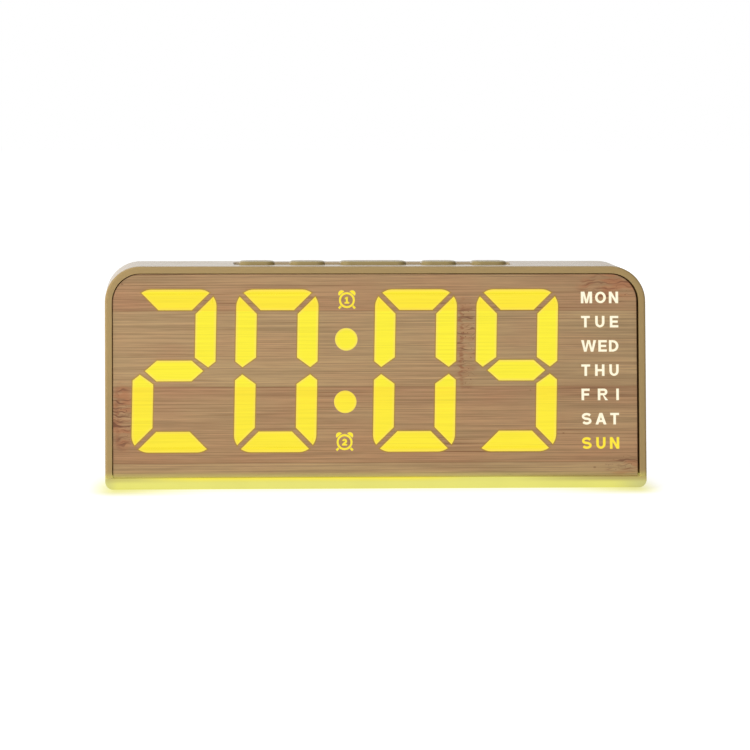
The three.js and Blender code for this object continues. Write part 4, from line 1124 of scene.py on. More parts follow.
@dataclass
class Housing:
    """The tan sleeve of the case, with the key recess in its top."""

    case: CaseLines
    inner_round: float = 0.15
    recess_length: float = 98.1
    recess_width: float = 14.8
    recess_depth: float = 1.0
    recess_corner: float = 2.0
    recess_slope: Point = (0.6, 1.7)
    lip: float = 0.25
    ledge_width: float = 2.0
    ledge_depth: Point = (2.7, 4.7)
    ledge_root: float = 0.5
    ledge_foot: float = 1.0
    # Where the strip of painted shade lies behind the face, and how far it stays off the wall
    shade_strip_depth: Point = (2.45, 2.65)
    shade_strip_clearance: float = 0.03
    corner_steps: int = 20

    def build(self, keys: "KeyRow") -> None:
        """Builds and dresses the sleeve, and the dark strip that paints shade into the gap round the panel.

        Args:
            keys: The keys that come through its top.
        """
        case = self.case
        form = Form()
        height = case.top - case.housing_low
        centre = (0.0, case.housing_low + height / 2)
        radii = (0, 0, case.top_corner, case.top_corner)
        face = form.rounded(centre, (2 * case.half_width, height), radii, steps=self.corner_steps)
        form.slab(face, case.front, case.back)
        form.close()
        gone = [f for f in form.bm.faces if abs(f.normal.y) > FACING or f.normal.z < -FACING]
        bmesh.ops.delete(form.bm, geom=gone, context="FACES")
        bmesh.ops.solidify(form.bm, geom=form.bm.faces[:], thickness=case.wall)
        form.close()
        self.round_rims(form)
        form.lean_front(lambda p: p.y < 0, case.base_low, case.slope)
        shell = form.piece("housing_sleeve")
        blend(shell, self.arch(self.ledge_depth, self.ledge_root), Blend.ADD)
        self.sink_keys(shell, keys)
        seat(shell, CASE_BODY, SLEEVE, "main_housing")
        # A dark strip on the ledge paints shade into the gap round the panel
        seat(self.arch(self.shade_strip_depth, -self.shade_strip_clearance).piece("panel_tape"), CASE_BODY, GAP_SHADE)

    def arch(self, depth: Point, grow: float) -> Form:
        """Makes an arch along the inside of the sleeve: the panel's ledge, or the dark strip on it that
        paints shade into the gap.

        Args:
            depth: Where it starts and ends behind the face.
            grow: How far it reaches into the wall of the sleeve.

        Returns:
            The arch, in the clock's frame.
        """
        case = self.case
        near, far = depth
        low, high = case.up_face(case.housing_low + self.ledge_foot, near), case.up_face(case.ceiling, near)
        arches = []
        for reach, past in ((grow, 0.0), (-self.ledge_width, PAST)):
            half = case.half_width - case.wall + reach
            corner = case.top_corner - case.wall + reach
            foot, head = low - past, high + reach
            form = Form()
            size = (2 * half, head - foot)
            face = form.rounded((0, (head + foot) / 2), size, (0, 0, corner, corner), steps=12)
            form.slab(face, near - past, far + past)
            arches.append(form)
        ring = arches[0].piece("arch")
        blend(ring, arches[1], Blend.TAKE)
        form = Form.of(ring)
        bpy.data.objects.remove(ring)
        form.move(case.on_face())
        return form

    def is_outer(self, point: Vector) -> bool:
        """Says whether a point lies on the outside of the sleeve.

        Args:
            point: The point, on one of the sleeve's two walls.

        Returns:
            True for the outer wall.
        """
        case = self.case
        flat_x, flat_z = case.half_width - case.top_corner, case.top - case.top_corner
        if abs(point.x) > flat_x and point.z > flat_z:
            reach = math.hypot(abs(point.x) - flat_x, point.z - flat_z)
            return reach > case.top_corner - case.wall / 2
        return abs(point.x) > case.half_width - NEAR or point.z > case.top - NEAR

    def round_rims(self, form: Form) -> None:
        """Rounds both edges of the front rim and the outer edge of the rear rim.

        Args:
            form: The sleeve, before it leans back.
        """
        case = self.case

        def on_rim(y: float, outer: bool) -> Test:
            """Gives a test for points on the outer or the inner edge of the rim at a depth."""
            return lambda p: abs(p.y - y) < NEAR and self.is_outer(p) == outer

        form.round_where(on_rim(case.front, True), case.front_round, steps=5)
        form.round_where(on_rim(case.front, False), self.inner_round, steps=3)
        form.round_where(on_rim(case.back, True), case.rear_round, steps=6)

    def sink_keys(self, shell: Piece, keys: "KeyRow") -> None:
        """Cuts the recess and the key holes, and rounds the edge of the recess.

        Args:
            shell: The sleeve.
            keys: The keys that come through its top.
        """
        floor = self.case.top - self.recess_depth
        recess = Form()
        size = (self.recess_length, self.recess_width)
        face = recess.rounded((0, keys.y), size, [self.recess_corner] * 4, Plane.PLAN)
        bmesh.ops.translate(recess.bm, verts=face.verts[:], vec=UP * floor)
        # The cutter is twice as tall as the recess, so each of its two sides opens twice as far
        mouth = recess.extrude(UP * 2 * self.recess_depth, face)
        wide = [1 + 2 * 2 * slope / side for slope, side in zip(self.recess_slope, size)]
        about = Matrix.Translation((0, -keys.y, 0))
        bmesh.ops.scale(recess.bm, verts=mouth, vec=(*wide, 1), space=about)
        blend(shell, recess, Blend.TAKE)
        holes = Form()
        for key in keys.places():
            size = (key.width + 2 * self.case.fit, keys.depth + 2 * self.case.fit)
            face = holes.rounded((key.x, keys.y), size, [keys.corner + self.case.fit] * 4, Plane.PLAN)
            holes.slab(face, self.case.ceiling - PAST, self.case.top, UP)
        blend(shell, holes, Blend.TAKE)
        form = Form.of(shell)
        half_length = self.recess_length / 2 + self.recess_slope[0] + NEAR
        half_width = self.recess_width / 2 + self.recess_slope[1] + NEAR

        def on_lip(point: Vector) -> bool:
            """Says whether a point lies on the upper edge of the recess."""
            at_top = abs(point.z - self.case.top) < NEAR_CUT
            return at_top and abs(point.x) < half_length and abs(point.y - keys.y) < half_width

        form.round_where(on_lip, self.lip, steps=3, sharp=8)
        form.write(shell)


@dataclass
class KeyPlace:
    """One key of the row."""

    name: str
    x: float
    width: float


@dataclass
class KeyRow:
    """The five keys in the top."""

    case: CaseLines
    names: tuple[str, ...] = ("set", "alarm", "snooze", "down", "up")
    corner: float = 3.5
    edge: float = 0.95
    flange: float = 1.0
    flange_height: float = 1.2
    dish: float = 0.18
    dish_inset: float = 1.6
    stem: float = 2.2
    stem_root: float = 0.4
    y: float = field(init=False)
    depth: float = field(init=False)

    def __post_init__(self) -> None:
        """Reads the row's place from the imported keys."""
        low, high = corners(f"{self.names[0]}_key")
        self.y, self.depth = (low.y + high.y) / 2, high.y - low.y - 2 * self.flange

    def places(self) -> list[KeyPlace]:
        """Reads each key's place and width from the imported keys.

        Returns:
            The keys from left to right.
        """
        found = []
        for name in self.names:
            low, high = corners(f"{name}_key")
            found.append(KeyPlace(name, (low.x + high.x) / 2, high.x - low.x - 2 * self.flange))
        return found

    def build(self) -> None:
        """Builds and dresses every key."""
        for key in self.places():
            self.build_key(key)

    def build_key(self, key: KeyPlace) -> None:
        """Builds one key: flange, cap with a dished top, and the stem that meets the plunger.

        Args:
            key: Place and width of the key.
        """
        low, high = corners(f"{key.name}_key")
        flange_top = self.case.ceiling - self.case.fit
        flange_low = flange_top - self.flange_height
        form = Form()
        size = (key.width + 2 * self.flange, self.depth + 2 * self.flange)
        face = form.rounded((key.x, self.y), size, [self.corner + self.flange] * 4, Plane.PLAN)
        bmesh.ops.translate(form.bm, verts=face.verts[:], vec=UP * flange_low)
        form.extrude(UP * self.flange_height, face)
        form.close()
        top = max(form.bm.faces, key=lambda f: f.calc_center_median().z)
        bmesh.ops.inset_region(form.bm, faces=[top], thickness=self.flange)
        form.extrude(UP * (high.z - flange_top), top)
        form.close()
        form.round_where(lambda p: p.z > high.z - NEAR, self.edge, steps=5)
        form.bm.normal_update()
        top = max(form.bm.faces, key=lambda f: (round(f.calc_center_median().z, 3), f.calc_area()))
        bmesh.ops.inset_region(form.bm, faces=[top], thickness=self.dish_inset, depth=-self.dish)
        piece = form.piece(f"{key.name}_key_cap")
        stem = Form()
        root = stem.disc((key.x, self.y), self.stem, Plane.PLAN, steps=24)
        stem.slab(root, low.z, flange_low + self.stem_root, UP)
        blend(piece, stem, Blend.ADD)
        seat(piece, f"{key.name}_key_body", TAN_KEY, f"{key.name}_key")


@dataclass
class GlowBase:
    """The translucent tray under the case, with seats for its feet and screws."""

    case: CaseLines
    floor: float = 1.6
    foot_radius: float = 5.0
    foot_sink: float = 0.7
    bore_radius: float = 2.5
    bore_depth: float = 1.4
    lean_room: float = 1.0
    pocket_corner: float = 1.0

    def build(self) -> None:
        """Builds and dresses the tray."""
        case = self.case
        form = Form()
        height = case.base_top - case.base_low
        radii = (case.low_corner, case.low_corner, 0, 0)
        face = form.rounded((0, case.base_low + height / 2), (2 * case.half_width, height), radii, steps=12)
        form.slab(face, case.front, case.back)
        form.close()
        for y, radius, steps in ((case.front, case.front_round, 5), (case.back, case.rear_round, 6)):
            rim = [
                edge
                for edge in form.bm.edges
                if all(abs(vert.co.y - y) < NEAR for vert in edge.verts)
                and any(vert.co.z < case.base_top - NEAR for vert in edge.verts)
            ]
            form.bevel(rim, radius, steps)
        form.lean_front(lambda p: p.y < 0, case.base_low, case.slope)
        tray = form.piece("glow_tray")
        self.hollow(tray)
        seat(tray, CASE_BODY, GLOW, "base_diffuser")

    def hollow(self, tray: Piece) -> None:
        """Cuts the pocket for the lights, the foot seats and the screw bores.

        Args:
            tray: The solid tray.
        """
        case = self.case
        tool = Form()
        size = (2 * (case.half_width - case.wall), case.back - case.front - 2 * case.wall - self.lean_room)
        centre = (0, (case.back + case.front + self.lean_room) / 2)
        pocket = tool.rounded(centre, size, [self.pocket_corner] * 4, Plane.PLAN, steps=4)
        tool.slab(pocket, case.base_low + self.floor, case.base_top + PAST, UP)
        blend(tray, tool, Blend.TAKE)
        seats = Form()
        sinks = (
            ("foot", self.foot_radius + case.fit, self.foot_sink, 40),
            ("base_screw", self.bore_radius, self.bore_depth, 24),
        )
        for name in CORNERS:
            for kind, radius, depth, steps in sinks:
                hole = seats.disc(middle(f"{kind}_{name}", Plane.PLAN), radius, Plane.PLAN, steps)
                seats.slab(hole, case.base_low - PAST, case.base_low + depth, UP)
        blend(tray, seats, Blend.TAKE)


@dataclass
class Feet:
    """The four rubber feet."""

    edge: float = 0.45
    ring: float = 3.2
    ring_depth: float = 0.2
    ring_slope: float = 0.2

    def build(self) -> None:
        """Turns and dresses each foot."""
        near, far = self.ring - self.ring_slope, self.ring + self.ring_slope
        inner = [(0, self.ring_depth), (near, self.ring_depth), (far, 0)]
        for name in CORNERS:
            low, high = corners(f"foot_{name}")
            radius, height = (high.x - low.x) / 2, high.z - low.z
            form = Form()
            rim = arc((radius - self.edge, self.edge), self.edge, -math.pi / 2, 0, steps=5)
            form.turn([*inner, *rim, (radius, height), (0, height)], steps=40)
            form.move(Matrix.Translation((*middle(f"foot_{name}", Plane.PLAN), low.z)))
            seat(form.piece(f"foot_pad_{name}"), CASE_BODY, RUBBER, f"foot_{name}")


@dataclass
class Screws:
    """The eight screws that show: pan heads with a cross recess."""

    head: float = 2.2
    head_height: float = 1.3
    dome: float = 0.5
    shank: float = 1.1
    slot_width: float = 0.7
    slot_length: float = 2.6
    slot_depth: float = 0.95
    slot_taper: float = 0.25
    slot_corner: float = 0.1
    dome_steps: int = 6

    def screw(self, name: str, length: float) -> Piece:
        """Makes a screw along +Z with the underside of its head at the origin.

        Args:
            name: Name of the piece.
            length: Length of the shank.

        Returns:
            The piece.
        """
        form = Form()
        side = self.head_height - self.dome
        turns = [math.pi / 2 * step / self.dome_steps for step in range(self.dome_steps)]
        crown = [(self.head * math.cos(a), side + self.dome * math.sin(a)) for a in turns]
        tip = [(0, -length), (self.shank, self.shank - length), (self.shank, 0), (self.head, 0)]
        form.turn([*tip, *crown, (0, self.head_height)], steps=32)
        piece = form.piece(name)
        for size in ((self.slot_length, self.slot_width), (self.slot_width, self.slot_length)):
            tool = Form()
            mouth = tool.rounded((0, 0), size, [self.slot_corner] * 4, Plane.PLAN, steps=2)
            bmesh.ops.translate(tool.bm, verts=mouth.verts[:], vec=UP * (self.head_height + NEAR))
            root = tool.extrude(UP * -self.slot_depth, mouth)
            bmesh.ops.scale(tool.bm, verts=root, vec=(self.slot_taper, self.slot_taper, 1))
            blend(piece, tool, Blend.TAKE)
        return piece

    def build(self) -> None:
        """Places the screws of the rear cover and of the base."""
        under = [f"base_screw_{name}" for name in CORNERS]
        for node in [*under, *REAR_SCREWS]:
            low, high = corners(node)
            centre = (low + high) / 2
            if node in under:
                place = Vector((centre.x, centre.y, low.z + self.head_height))
                turned = Matrix.Rotation(math.pi, 4, "X")
                length = high.z - low.z - self.head_height
            else:
                place = Vector((centre.x, high.y - self.head_height, centre.z))
                turned = Matrix.Rotation(-math.pi / 2, 4, "X")
                length = high.y - low.y - self.head_height
            piece = self.screw(f"cross_{node}", length)
            piece.data.transform(Matrix.Translation(place * MM) @ turned)
            seat(piece, CASE_BODY, STEEL, node)


class Lit(Enum):
    """Strokes that are lit for a figure, named clockwise from the top, then the middle."""

    ZERO = "abcdef"
    TWO = "abged"
    NINE = "abcdfg"


@dataclass
class Digits:
    """Outlines of the seven-stroke figures on the face."""

    width: float = 28.75
    height: float = 56.9
    low: float = 13.0
    stroke: float = 7.2
    corner: float = 6.0
    gap: float = 1.9
    slant: float = math.tan(math.radians(1.2))
    tip_inset: float = 2.5
    tip_gap: float = 2.5
    tip_inner: float = 0.72
    tip_outer: float = 0.81
    middle_inset: float = 4.2
    middle_slope: float = 0.88
    corner_steps: int = 6

    @property
    def mid(self) -> float:
        """Height of the middle of the figures on the face."""
        return self.low + self.height / 2

    def strokes(self) -> dict[str, list[Point]]:
        """Draws the seven strokes about the middle of a figure.

        Returns:
            The outline of each stroke by its letter.
        """
        a, b, stroke, corner = self.width / 2, self.height / 2, self.stroke, self.corner
        mitre = self.gap / math.sqrt(2)
        reach = (mitre + math.sqrt(2 * corner**2 - mitre**2)) / 2
        turn = math.atan2(reach, reach - mitre)
        rise = self.tip_gap / 2
        bar = [(-(a - stroke - mitre), b - stroke), (a - stroke - mitre, b - stroke)]
        bar += arc((a - corner, b - corner), corner, turn, math.pi / 2, self.corner_steps)
        bar += arc((corner - a, b - corner), corner, math.pi / 2, math.pi - turn, self.corner_steps)
        post = [
            (a - stroke, b - stroke - mitre),
            (a - stroke, rise + (stroke - self.tip_inset) * self.tip_inner),
            (a - self.tip_inset, rise),
            (a, rise + self.tip_inset * self.tip_outer),
        ]
        post += arc((a - corner, b - corner), corner, 0, math.pi / 2 - turn, self.corner_steps)
        tip, half = a - self.middle_inset, stroke / 2
        flat = tip - half / self.middle_slope
        cross = [(-flat, -half), (flat, -half), (tip, 0), (flat, half), (-flat, half), (-tip, 0)]

        def flip(points: list[Point], x: int, y: int) -> list[Point]:
            """Mirrors an outline across, upside down or both."""
            return [(p * x, q * y) for p, q in points]

        return {
            "a": bar,
            "b": post,
            "c": flip(post, 1, -1),
            "d": flip(bar, 1, -1),
            "e": flip(post, -1, -1),
            "f": flip(post, -1, 1),
            "g": cross,
        }

    def figure(self, centre: float, lit: Lit) -> list[list[Point]]:
        """Draws the lit strokes of one figure about a place across the face."""
        strokes = self.strokes()
        return [[(centre + x + y * self.slant, self.mid + y) for x, y in strokes[key]] for key in lit.value]


@dataclass
class Capitals:
    """Bold upright signs of even stroke, drawn with their lower left corner at the origin."""

    stem: float = 0.23
    bar: float = 0.2
    steps: int = 10

    # Width of each sign as a share of its height
    WIDTHS = {
        "M": 0.98, "O": 0.95, "N": 0.81, "T": 0.77, "U": 0.81, "E": 0.74, "W": 1.3, "D": 0.83, "H": 0.82,
        "F": 0.71, "R": 0.9, "I": 0.23, "S": 0.87, "A": 0.96, "1": 0.7, "2": 0.74,
    }

    def draw(self, sign: str, h: float) -> list[list[Point]]:
        """Draws one sign.

        Args:
            sign: A capital or a figure.
            h: Its height.

        Returns:
            Outlines that meet edge to edge.
        """
        w, s, t = self.WIDTHS[sign] * h, self.stem * h, self.bar * h
        low, high = (h - t) / 2, (h + t) / 2
        if sign == "I":
            return [[(0, 0), (w, 0), (w, h), (0, h)]]
        if sign == "T":
            left, right = (w - s) / 2, (w + s) / 2
            post = [(left, h - t), (left, 0), (right, 0), (right, h - t)]
            return [[(0, h), (0, h - t), *post, (w, h - t), (w, h)]]
        if sign == "H":
            half = [(0, 0), (s, 0), (s, low), (w / 2, low), (w / 2, high), (s, high), (s, h), (0, h)]
            return self.mirrored(half, w)
        if sign in "EF":
            arm = 0.93 * w
            foot = [(0, 0), (w, 0), (w, t), (s, t)] if sign == "E" else [(0, 0), (s, 0)]
            branch = [(s, low), (arm, low), (arm, high), (s, high)]
            return [[*foot, *branch, (s, h - t), (w, h - t), (w, h), (0, h)]]
        if sign == "N":
            fall = 1.7 * s
            half = [(0, 0), (s, 0), (s, h - fall), (w - s, 0), (w, 0)]
            return [half + [(w - x, h - y) for x, y in half]]
        if sign == "M":
            fall, foot, notch, shoulder = 1.5 * s, 0.46 * s, 0.32 * h, 1.4 * s
            half = [(0, 0), (s, 0), (s, h - fall), (w / 2 - foot, 0), (w / 2, 0), (w / 2, notch)]
            return self.mirrored([*half, (shoulder, h), (0, h)], w)
        if sign == "W":
            arm, foot, peak, notch = 1.05 * s, 0.19 * w, 0.72 * h, 0.3 * h
            half = [(0, h), (foot, 0), (foot + 0.95 * s, 0), (w / 2, peak), (w / 2, h)]
            return self.mirrored([*half, (w / 2 - arm / 2, h), (foot + 0.5 * s, notch), (arm, h)], w)
        if sign == "A":
            leg, tip = 1.1 * s, 0.55 * s
            lean = (w / 2 - tip) / h
            low, high = 0.2 * h, 0.2 * h + t
            half = [(0, 0), (leg, 0), (leg + lean * low, low), (w / 2, low), (w / 2, high)]
            half += [(leg + lean * high, high), (w / 2, (w / 2 - leg) / lean), (w / 2, h), (w / 2 - tip, h)]
            return self.mirrored(half, w)
        if sign == "U":
            rise = 0.42 * h
            outer = self.bend((w / 2, rise), w / 2, rise, 180, 360)
            inner = self.bend((w / 2, rise), w / 2 - s, rise - t, 360, 180)
            return [[(0, h), *outer, (w, h), (w - s, h), *inner, (s, h)]]
        if sign == "O":
            return self.ring((w / 2, h / 2), (w / 2, h / 2), (w / 2 - s, h / 2 - t))
        if sign in "DR":
            return self.bowl(sign, w, h, s, t)
        if sign == "1":
            left, right = (w - s) / 2, (w + s) / 2
            flag = [(left + 0.2 * s, h), (0.05 * w, 0.82 * h), (0.05 * w, 0.62 * h), (left, 0.72 * h)]
            return [[(0, 0), (w, 0), (w, t), (right, t), (right, h), *flag, (left, t), (0, t)]]
        if sign == "2":
            crown, hole = w / 2, w / 2 - s
            outer = self.bend((crown, h - crown), crown, crown, 170, -40)
            inner = self.bend((crown, h - crown), hole, hole, -40, 170)
            return [[*outer, (0.62 * w, t), (w, t), (w, 0), (0, 0), (0, t), *inner]]
        reach, rise = (w - s) / 2, (h - t) / 4
        path = self.bend((w / 2, h / 2 + rise), reach, rise, 22, 270)
        path += self.bend((w / 2, h / 2 - rise), reach, rise, 90, -158)[1:]
        return [self.ribbon(path, (s + t) / 2)]

    @staticmethod
    def mirrored(half: list[Point], width: float) -> list[list[Point]]:
        """Gives the left half of a sign and its mirror image."""
        return [half, [(width - x, y) for x, y in half]]

    def bend(self, centre: Point, across: float, up: float, start: float, end: float) -> list[Point]:
        """Gives points along an ellipse between two angles in degrees."""
        turned = arc((0, 0), 1.0, math.radians(start), math.radians(end), self.steps)
        return [(centre[0] + x * across, centre[1] + y * up) for x, y in turned]

    def ring(self, centre: Point, outer: Point, inner: Point) -> list[list[Point]]:
        """Gives the two halves of an elliptic ring."""
        halves = ((0, 180), (180, 360))
        return [self.bend(centre, *outer, a, b) + self.bend(centre, *inner, b, a) for a, b in halves]

    def bowl(self, sign: str, w: float, h: float, s: float, t: float) -> list[list[Point]]:
        """Gives a stem with a bowl to its right, and a leg under the bowl of an R.

        Args:
            sign: D or R.
            w: Its width.
            h: Its height.
            s: Width of an upright stroke.
            t: Height of a level stroke.

        Returns:
            Outlines that meet edge to edge.
        """
        low = 0.0 if sign == "D" else 0.42 * h
        right = w if sign == "D" else 0.93 * w
        mid, r = (h + low) / 2, (h - low) / 2
        flat = right - min(r, 0.62 * w)
        outer = self.bend((flat, mid), right - flat, r, -90, 90)
        inner = self.bend((flat, mid), right - flat - s, r - t, 90, -90)
        stem = [(0, 0), (s, 0), (s, t), (s, h - t), (s, h), (0, h)]
        if sign == "D":
            return [stem, [(s, 0), *outer, (s, h), (s, h - t), *inner, (s, t)]]
        stem[2:3] = [(s, low), (s, low + t)]
        knee = flat - 0.5 * s
        leg = [(knee, low), (w - 1.15 * s, 0), (w, 0), (flat, low)]
        return [stem, [(s, low), (knee, low), *outer, (s, h), (s, h - t), *inner, (s, low + t)], leg]

    @staticmethod
    def ribbon(path: list[Point], width: float) -> list[Point]:
        """Draws a stroke of even width along a path.

        Args:
            path: Points of its middle line.
            width: Its width.

        Returns:
            The outline.
        """
        sides: tuple[list[Point], list[Point]] = ([], [])
        for i, (x, y) in enumerate(path):
            before, after = path[max(i - 1, 0)], path[min(i + 1, len(path) - 1)]
            way = Vector((after[0] - before[0], after[1] - before[1])).normalized() * (width / 2)
            sides[0].append((x - way.y, y + way.x))
            sides[1].append((x + way.y, y - way.x))
        return sides[0] + sides[1][::-1]


@dataclass
class LitFace:
    """The bamboo panel and everything that shines through it."""

    case: CaseLines
    digits: Digits
    capitals: Capitals
    figures_in_signs: Capitals
    setback: float = 0.4
    thickness: float = 2.0
    proud: float = 0.02
    flange_near: float = 2.7
    flange_far: float = 3.5
    flange_slack: float = 0.4
    flange_corner: float = 1.0
    rim: float = 1.1
    rim_share: float = 0.45
    panel_edge: float = 0.3
    panel_seat: Point = (-0.22, 0.2)
    panel_rise: float = 0.15
    left_corner: float = 0.5
    corner_steps: int = 16
    dot: float = 3.95
    dot_spacing: float = 21.9
    ring: float = 2.82
    ring_width: float = 0.74
    bell: float = 1.2
    bell_reach: float = 2.95
    bell_turn: float = 39.0
    foot_reach: Point = (2.95, 4.05)
    foot_width: float = 0.78
    sign_inset: dict[str, float] = field(default_factory=lambda: {"1": 3.75, "2": 3.4})
    numeral: float = 2.4
    words: tuple[str, ...] = ("MON", "TUE", "WED", "THU", "FRI", "SAT", "SUN")
    cap_height: float = 4.1
    word_width: float = 13.25
    words_inset: Point = (0.7, 0.85)
    lit_edge: float = 0.6
    lit_margin: Point = (5.0, 1.0)
    figures: tuple[tuple[str, Lit], ...] = (
        ("hours_tens", Lit.TWO),
        ("hours_units", Lit.ZERO),
        ("minutes_tens", Lit.ZERO),
        ("minutes_units", Lit.NINE),
    )
    windows: list[Form] = field(default_factory=list)

    def build(self) -> None:
        """Builds the lit signs, then the panel with a window for each."""
        for name, lit in self.figures:
            form = Form()
            for outline in self.digits.figure(middle(f"{name}_lens", Plane.FRONT)[0], lit):
                self.sign(form, [outline])
            self.finish_guide(form, f"{name}_figure", LIT_YELLOW, f"{name}_lens")
        self.build_colon()
        self.build_words()
        self.build_panel()

    def finish_guide(self, form: Form, name: str, finish: Finish, *nodes: str) -> None:
        """Gives a guide its window, its bright middle and its flange, and seats it on the face.

        Args:
            form: Bosses of the guide.
            name: Name of the piece.
            finish: Its finish.
            *nodes: Solids that it replaces.
        """
        form.close()
        self.windows.append(Form(form.bm.copy()))
        glow = form.bm.verts.layers.float.new("glow")
        fronts = [f for f in form.bm.faces if f.normal.y < -FACING]
        for face in fronts:
            # A thin sign gets a narrower rim, worked out from its mean width
            room = self.rim_share * 2 * face.calc_area() / face.calc_perimeter()
            bmesh.ops.inset_region(form.bm, faces=[face], thickness=min(self.rim, room))
            for vert in face.verts:
                vert[glow] = 1.0
        for node in nodes:
            low, high = corners(node)
            v_low = self.case.up_face(low.z, self.flange_far)
            v_high = self.case.up_face(high.z, self.setback)
            centre = ((low.x + high.x) / 2, (v_low + v_high) / 2)
            size = (high.x - low.x, v_high - v_low - self.flange_slack)
            plate = form.rounded(centre, size, [self.flange_corner] * 4, steps=3)
            form.slab(plate, self.flange_near, self.flange_far)
        form.move(self.case.on_face())
        seat(form.piece(name), CASE_BODY, finish, *nodes)

    def build_colon(self) -> None:
        """Builds the two dots and the two alarm signs between the hours and the minutes."""
        centre = middle("colon_lens", Plane.FRONT)[0]
        digits = self.digits
        form = Form()
        for side in (-1, 1):
            rise = side * self.dot_spacing / 2
            place = (centre + rise * digits.slant, digits.mid + rise)
            self.sign(form, [circle(place, self.dot, steps=40)])
        for side, numeral in ((1, "1"), (-1, "2")):
            rise = side * (digits.height / 2 - self.sign_inset[numeral])
            self.alarm_sign(form, (centre + rise * digits.slant, digits.mid + rise), numeral)
        self.finish_guide(form, "colon_signs", LIT_YELLOW, "colon_lens")

    def alarm_sign(self, form: Form, centre: Point, numeral: str) -> None:
        """Draws a bell clock: ring, two bells, two feet and a numeral.

        Args:
            form: Form that it goes into.
            centre: Its middle on the face.
            numeral: Figure inside the ring.
        """
        x, y = centre
        inner = self.ring - self.ring_width
        self.sign(form, self.capitals.ring(centre, (self.ring, self.ring), (inner, inner)))
        half = self.foot_width / 2
        near, far = self.foot_reach
        for side in (-1, 1):
            lift = math.radians(90 - self.bell_turn * side)
            bell = (x + self.bell_reach * math.cos(lift), y + self.bell_reach * math.sin(lift))
            self.sign(form, [arc(bell, self.bell, lift - math.pi / 2, lift + math.pi / 2, steps=8)])
            ahead = Vector((side, -1)).normalized()
            aside = Vector((-ahead.y, ahead.x))
            ends = ((near, -half), (far, -half), (far, half), (near, half))
            self.sign(form, [[tuple(Vector(centre) + ahead * r + aside * q) for r, q in ends]])
        width = self.figures_in_signs.WIDTHS[numeral] * self.numeral
        corner = (x - width / 2, y - self.numeral / 2)
        self.letter(form, self.figures_in_signs, numeral, self.numeral, corner)

    def letter(self, form: Form, letters: Capitals, sign: str, height: float, corner: Point) -> None:
        """Draws a letter or a numeral of a set, with its lower left corner at a place on the face."""
        left, low = corner
        self.sign(form, [[(left + p, low + q) for p, q in part] for part in letters.draw(sign, height)])

    def sign(self, form: Form, outlines: Sequence[Sequence[Point]]) -> None:
        """Draws a sign on the face out from just proud of the panel to the flange behind it.

        Args:
            form: Form that it goes into.
            outlines: Parts of the sign, which may meet edge to edge.
        """
        faces = [form.outline(outline) for outline in outlines]
        verts = [vert for face in faces for vert in face.verts]
        bmesh.ops.translate(form.bm, verts=verts, vec=BACK * (self.setback - self.proud))
        bmesh.ops.remove_doubles(form.bm, verts=verts, dist=NEAR)
        bmesh.ops.recalc_face_normals(form.bm, faces=faces)
        form.extrude(BACK * (self.flange_near - self.setback), *faces)

    def build_words(self) -> None:
        """Builds the column of weekdays: today's word in yellow, the others in white."""
        centre = middle("weekday_lens", Plane.FRONT)[0]
        digits = self.digits
        below, above = self.words_inset
        first = digits.low + digits.height - above - self.cap_height
        last = digits.low + below
        pitch = (first - last) / (len(self.words) - 1)
        white, yellow = Form(), Form()
        for row, word in enumerate(self.words):
            form = yellow if row == len(self.words) - 1 else white
            widths = [self.capitals.WIDTHS[sign] * self.cap_height for sign in word]
            space = (self.word_width - sum(widths)) / (len(word) - 1)
            left = centre - self.word_width / 2
            low = first - row * pitch
            for sign, width in zip(word, widths):
                self.letter(form, self.capitals, sign, self.cap_height, (left, low))
                left += width + space
        self.finish_guide(white, "weekday_words", LIT_WHITE, "weekday_lens")
        self.finish_guide(yellow, "today_word", LIT_TODAY)

    def build_panel(self) -> None:
        """Builds the panel and cuts a window for every lit sign."""
        case = self.case
        low = case.up_face(case.housing_low + case.fit / 2, self.setback)
        half = corners("front_panel")[1].x
        gap = case.half_width - case.wall - half
        high = case.up_face(case.ceiling - gap, self.setback)
        corner = case.top_corner - case.wall - gap
        form = Form()
        radii = (0, 0, corner, corner + self.left_corner)
        left, up = self.panel_seat
        size = (2 * half, high - low + up)
        face = form.rounded((left, (low + high + up) / 2), size, radii, steps=self.corner_steps)
        form.slab(face, self.setback, self.setback + self.thickness)
        form.close()
        for vert in form.bm.verts:
            if vert.co.z > high - corner - self.left_corner:
                vert.co.z += self.panel_rise * (0.5 - vert.co.x / (2 * half))
        form.round_where(lambda p: abs(p.y - self.setback) < NEAR, self.panel_edge, steps=3)
        panel = form.piece("bamboo_panel")
        for window in self.windows[: len(self.figures)]:
            blend(panel, window, Blend.TAKE)
        form = Form.of(panel)
        self.light_edges(form)
        form.write(panel)
        for window in self.windows[len(self.figures) :]:
            blend(panel, window, Blend.TAKE)
        form = Form.of(panel)
        form.move(case.on_face())
        form.write(panel)
        seat(panel, CASE_BODY, BAMBOO, "front_panel")

    def light_edges(self, form: Form) -> None:
        """Marks a narrow rim round each figure, where the figure's light is painted into the veneer's
        colour.

        Args:
            form: The panel with the windows of the figures, square to its own axes.
        """
        near_light = form.bm.verts.layers.float.new("near_light")
        square_on = 0.999

        def fronts() -> set[Face]:
            """Gives the faces that look straight to the front."""
            form.bm.normal_update()
            return {f for f in form.bm.faces if f.normal.y < -square_on}

        bmesh.ops.inset_region(form.bm, faces=list(fronts()), thickness=self.lit_edge, use_even_offset=True)
        flat = fronts()
        across = self.case.half_width - self.lit_margin[0]
        up = self.digits.height / 2 + self.lit_margin[1]
        for face in flat:
            for edge in face.edges:
                places = [vert.co for vert in edge.verts]
                at_window = all(abs(p.x) < across and abs(p.z - self.digits.mid) < up for p in places)
                if at_window and any(other not in flat for other in edge.link_faces):
                    for vert in edge.verts:
                        vert[near_light] = 1.0


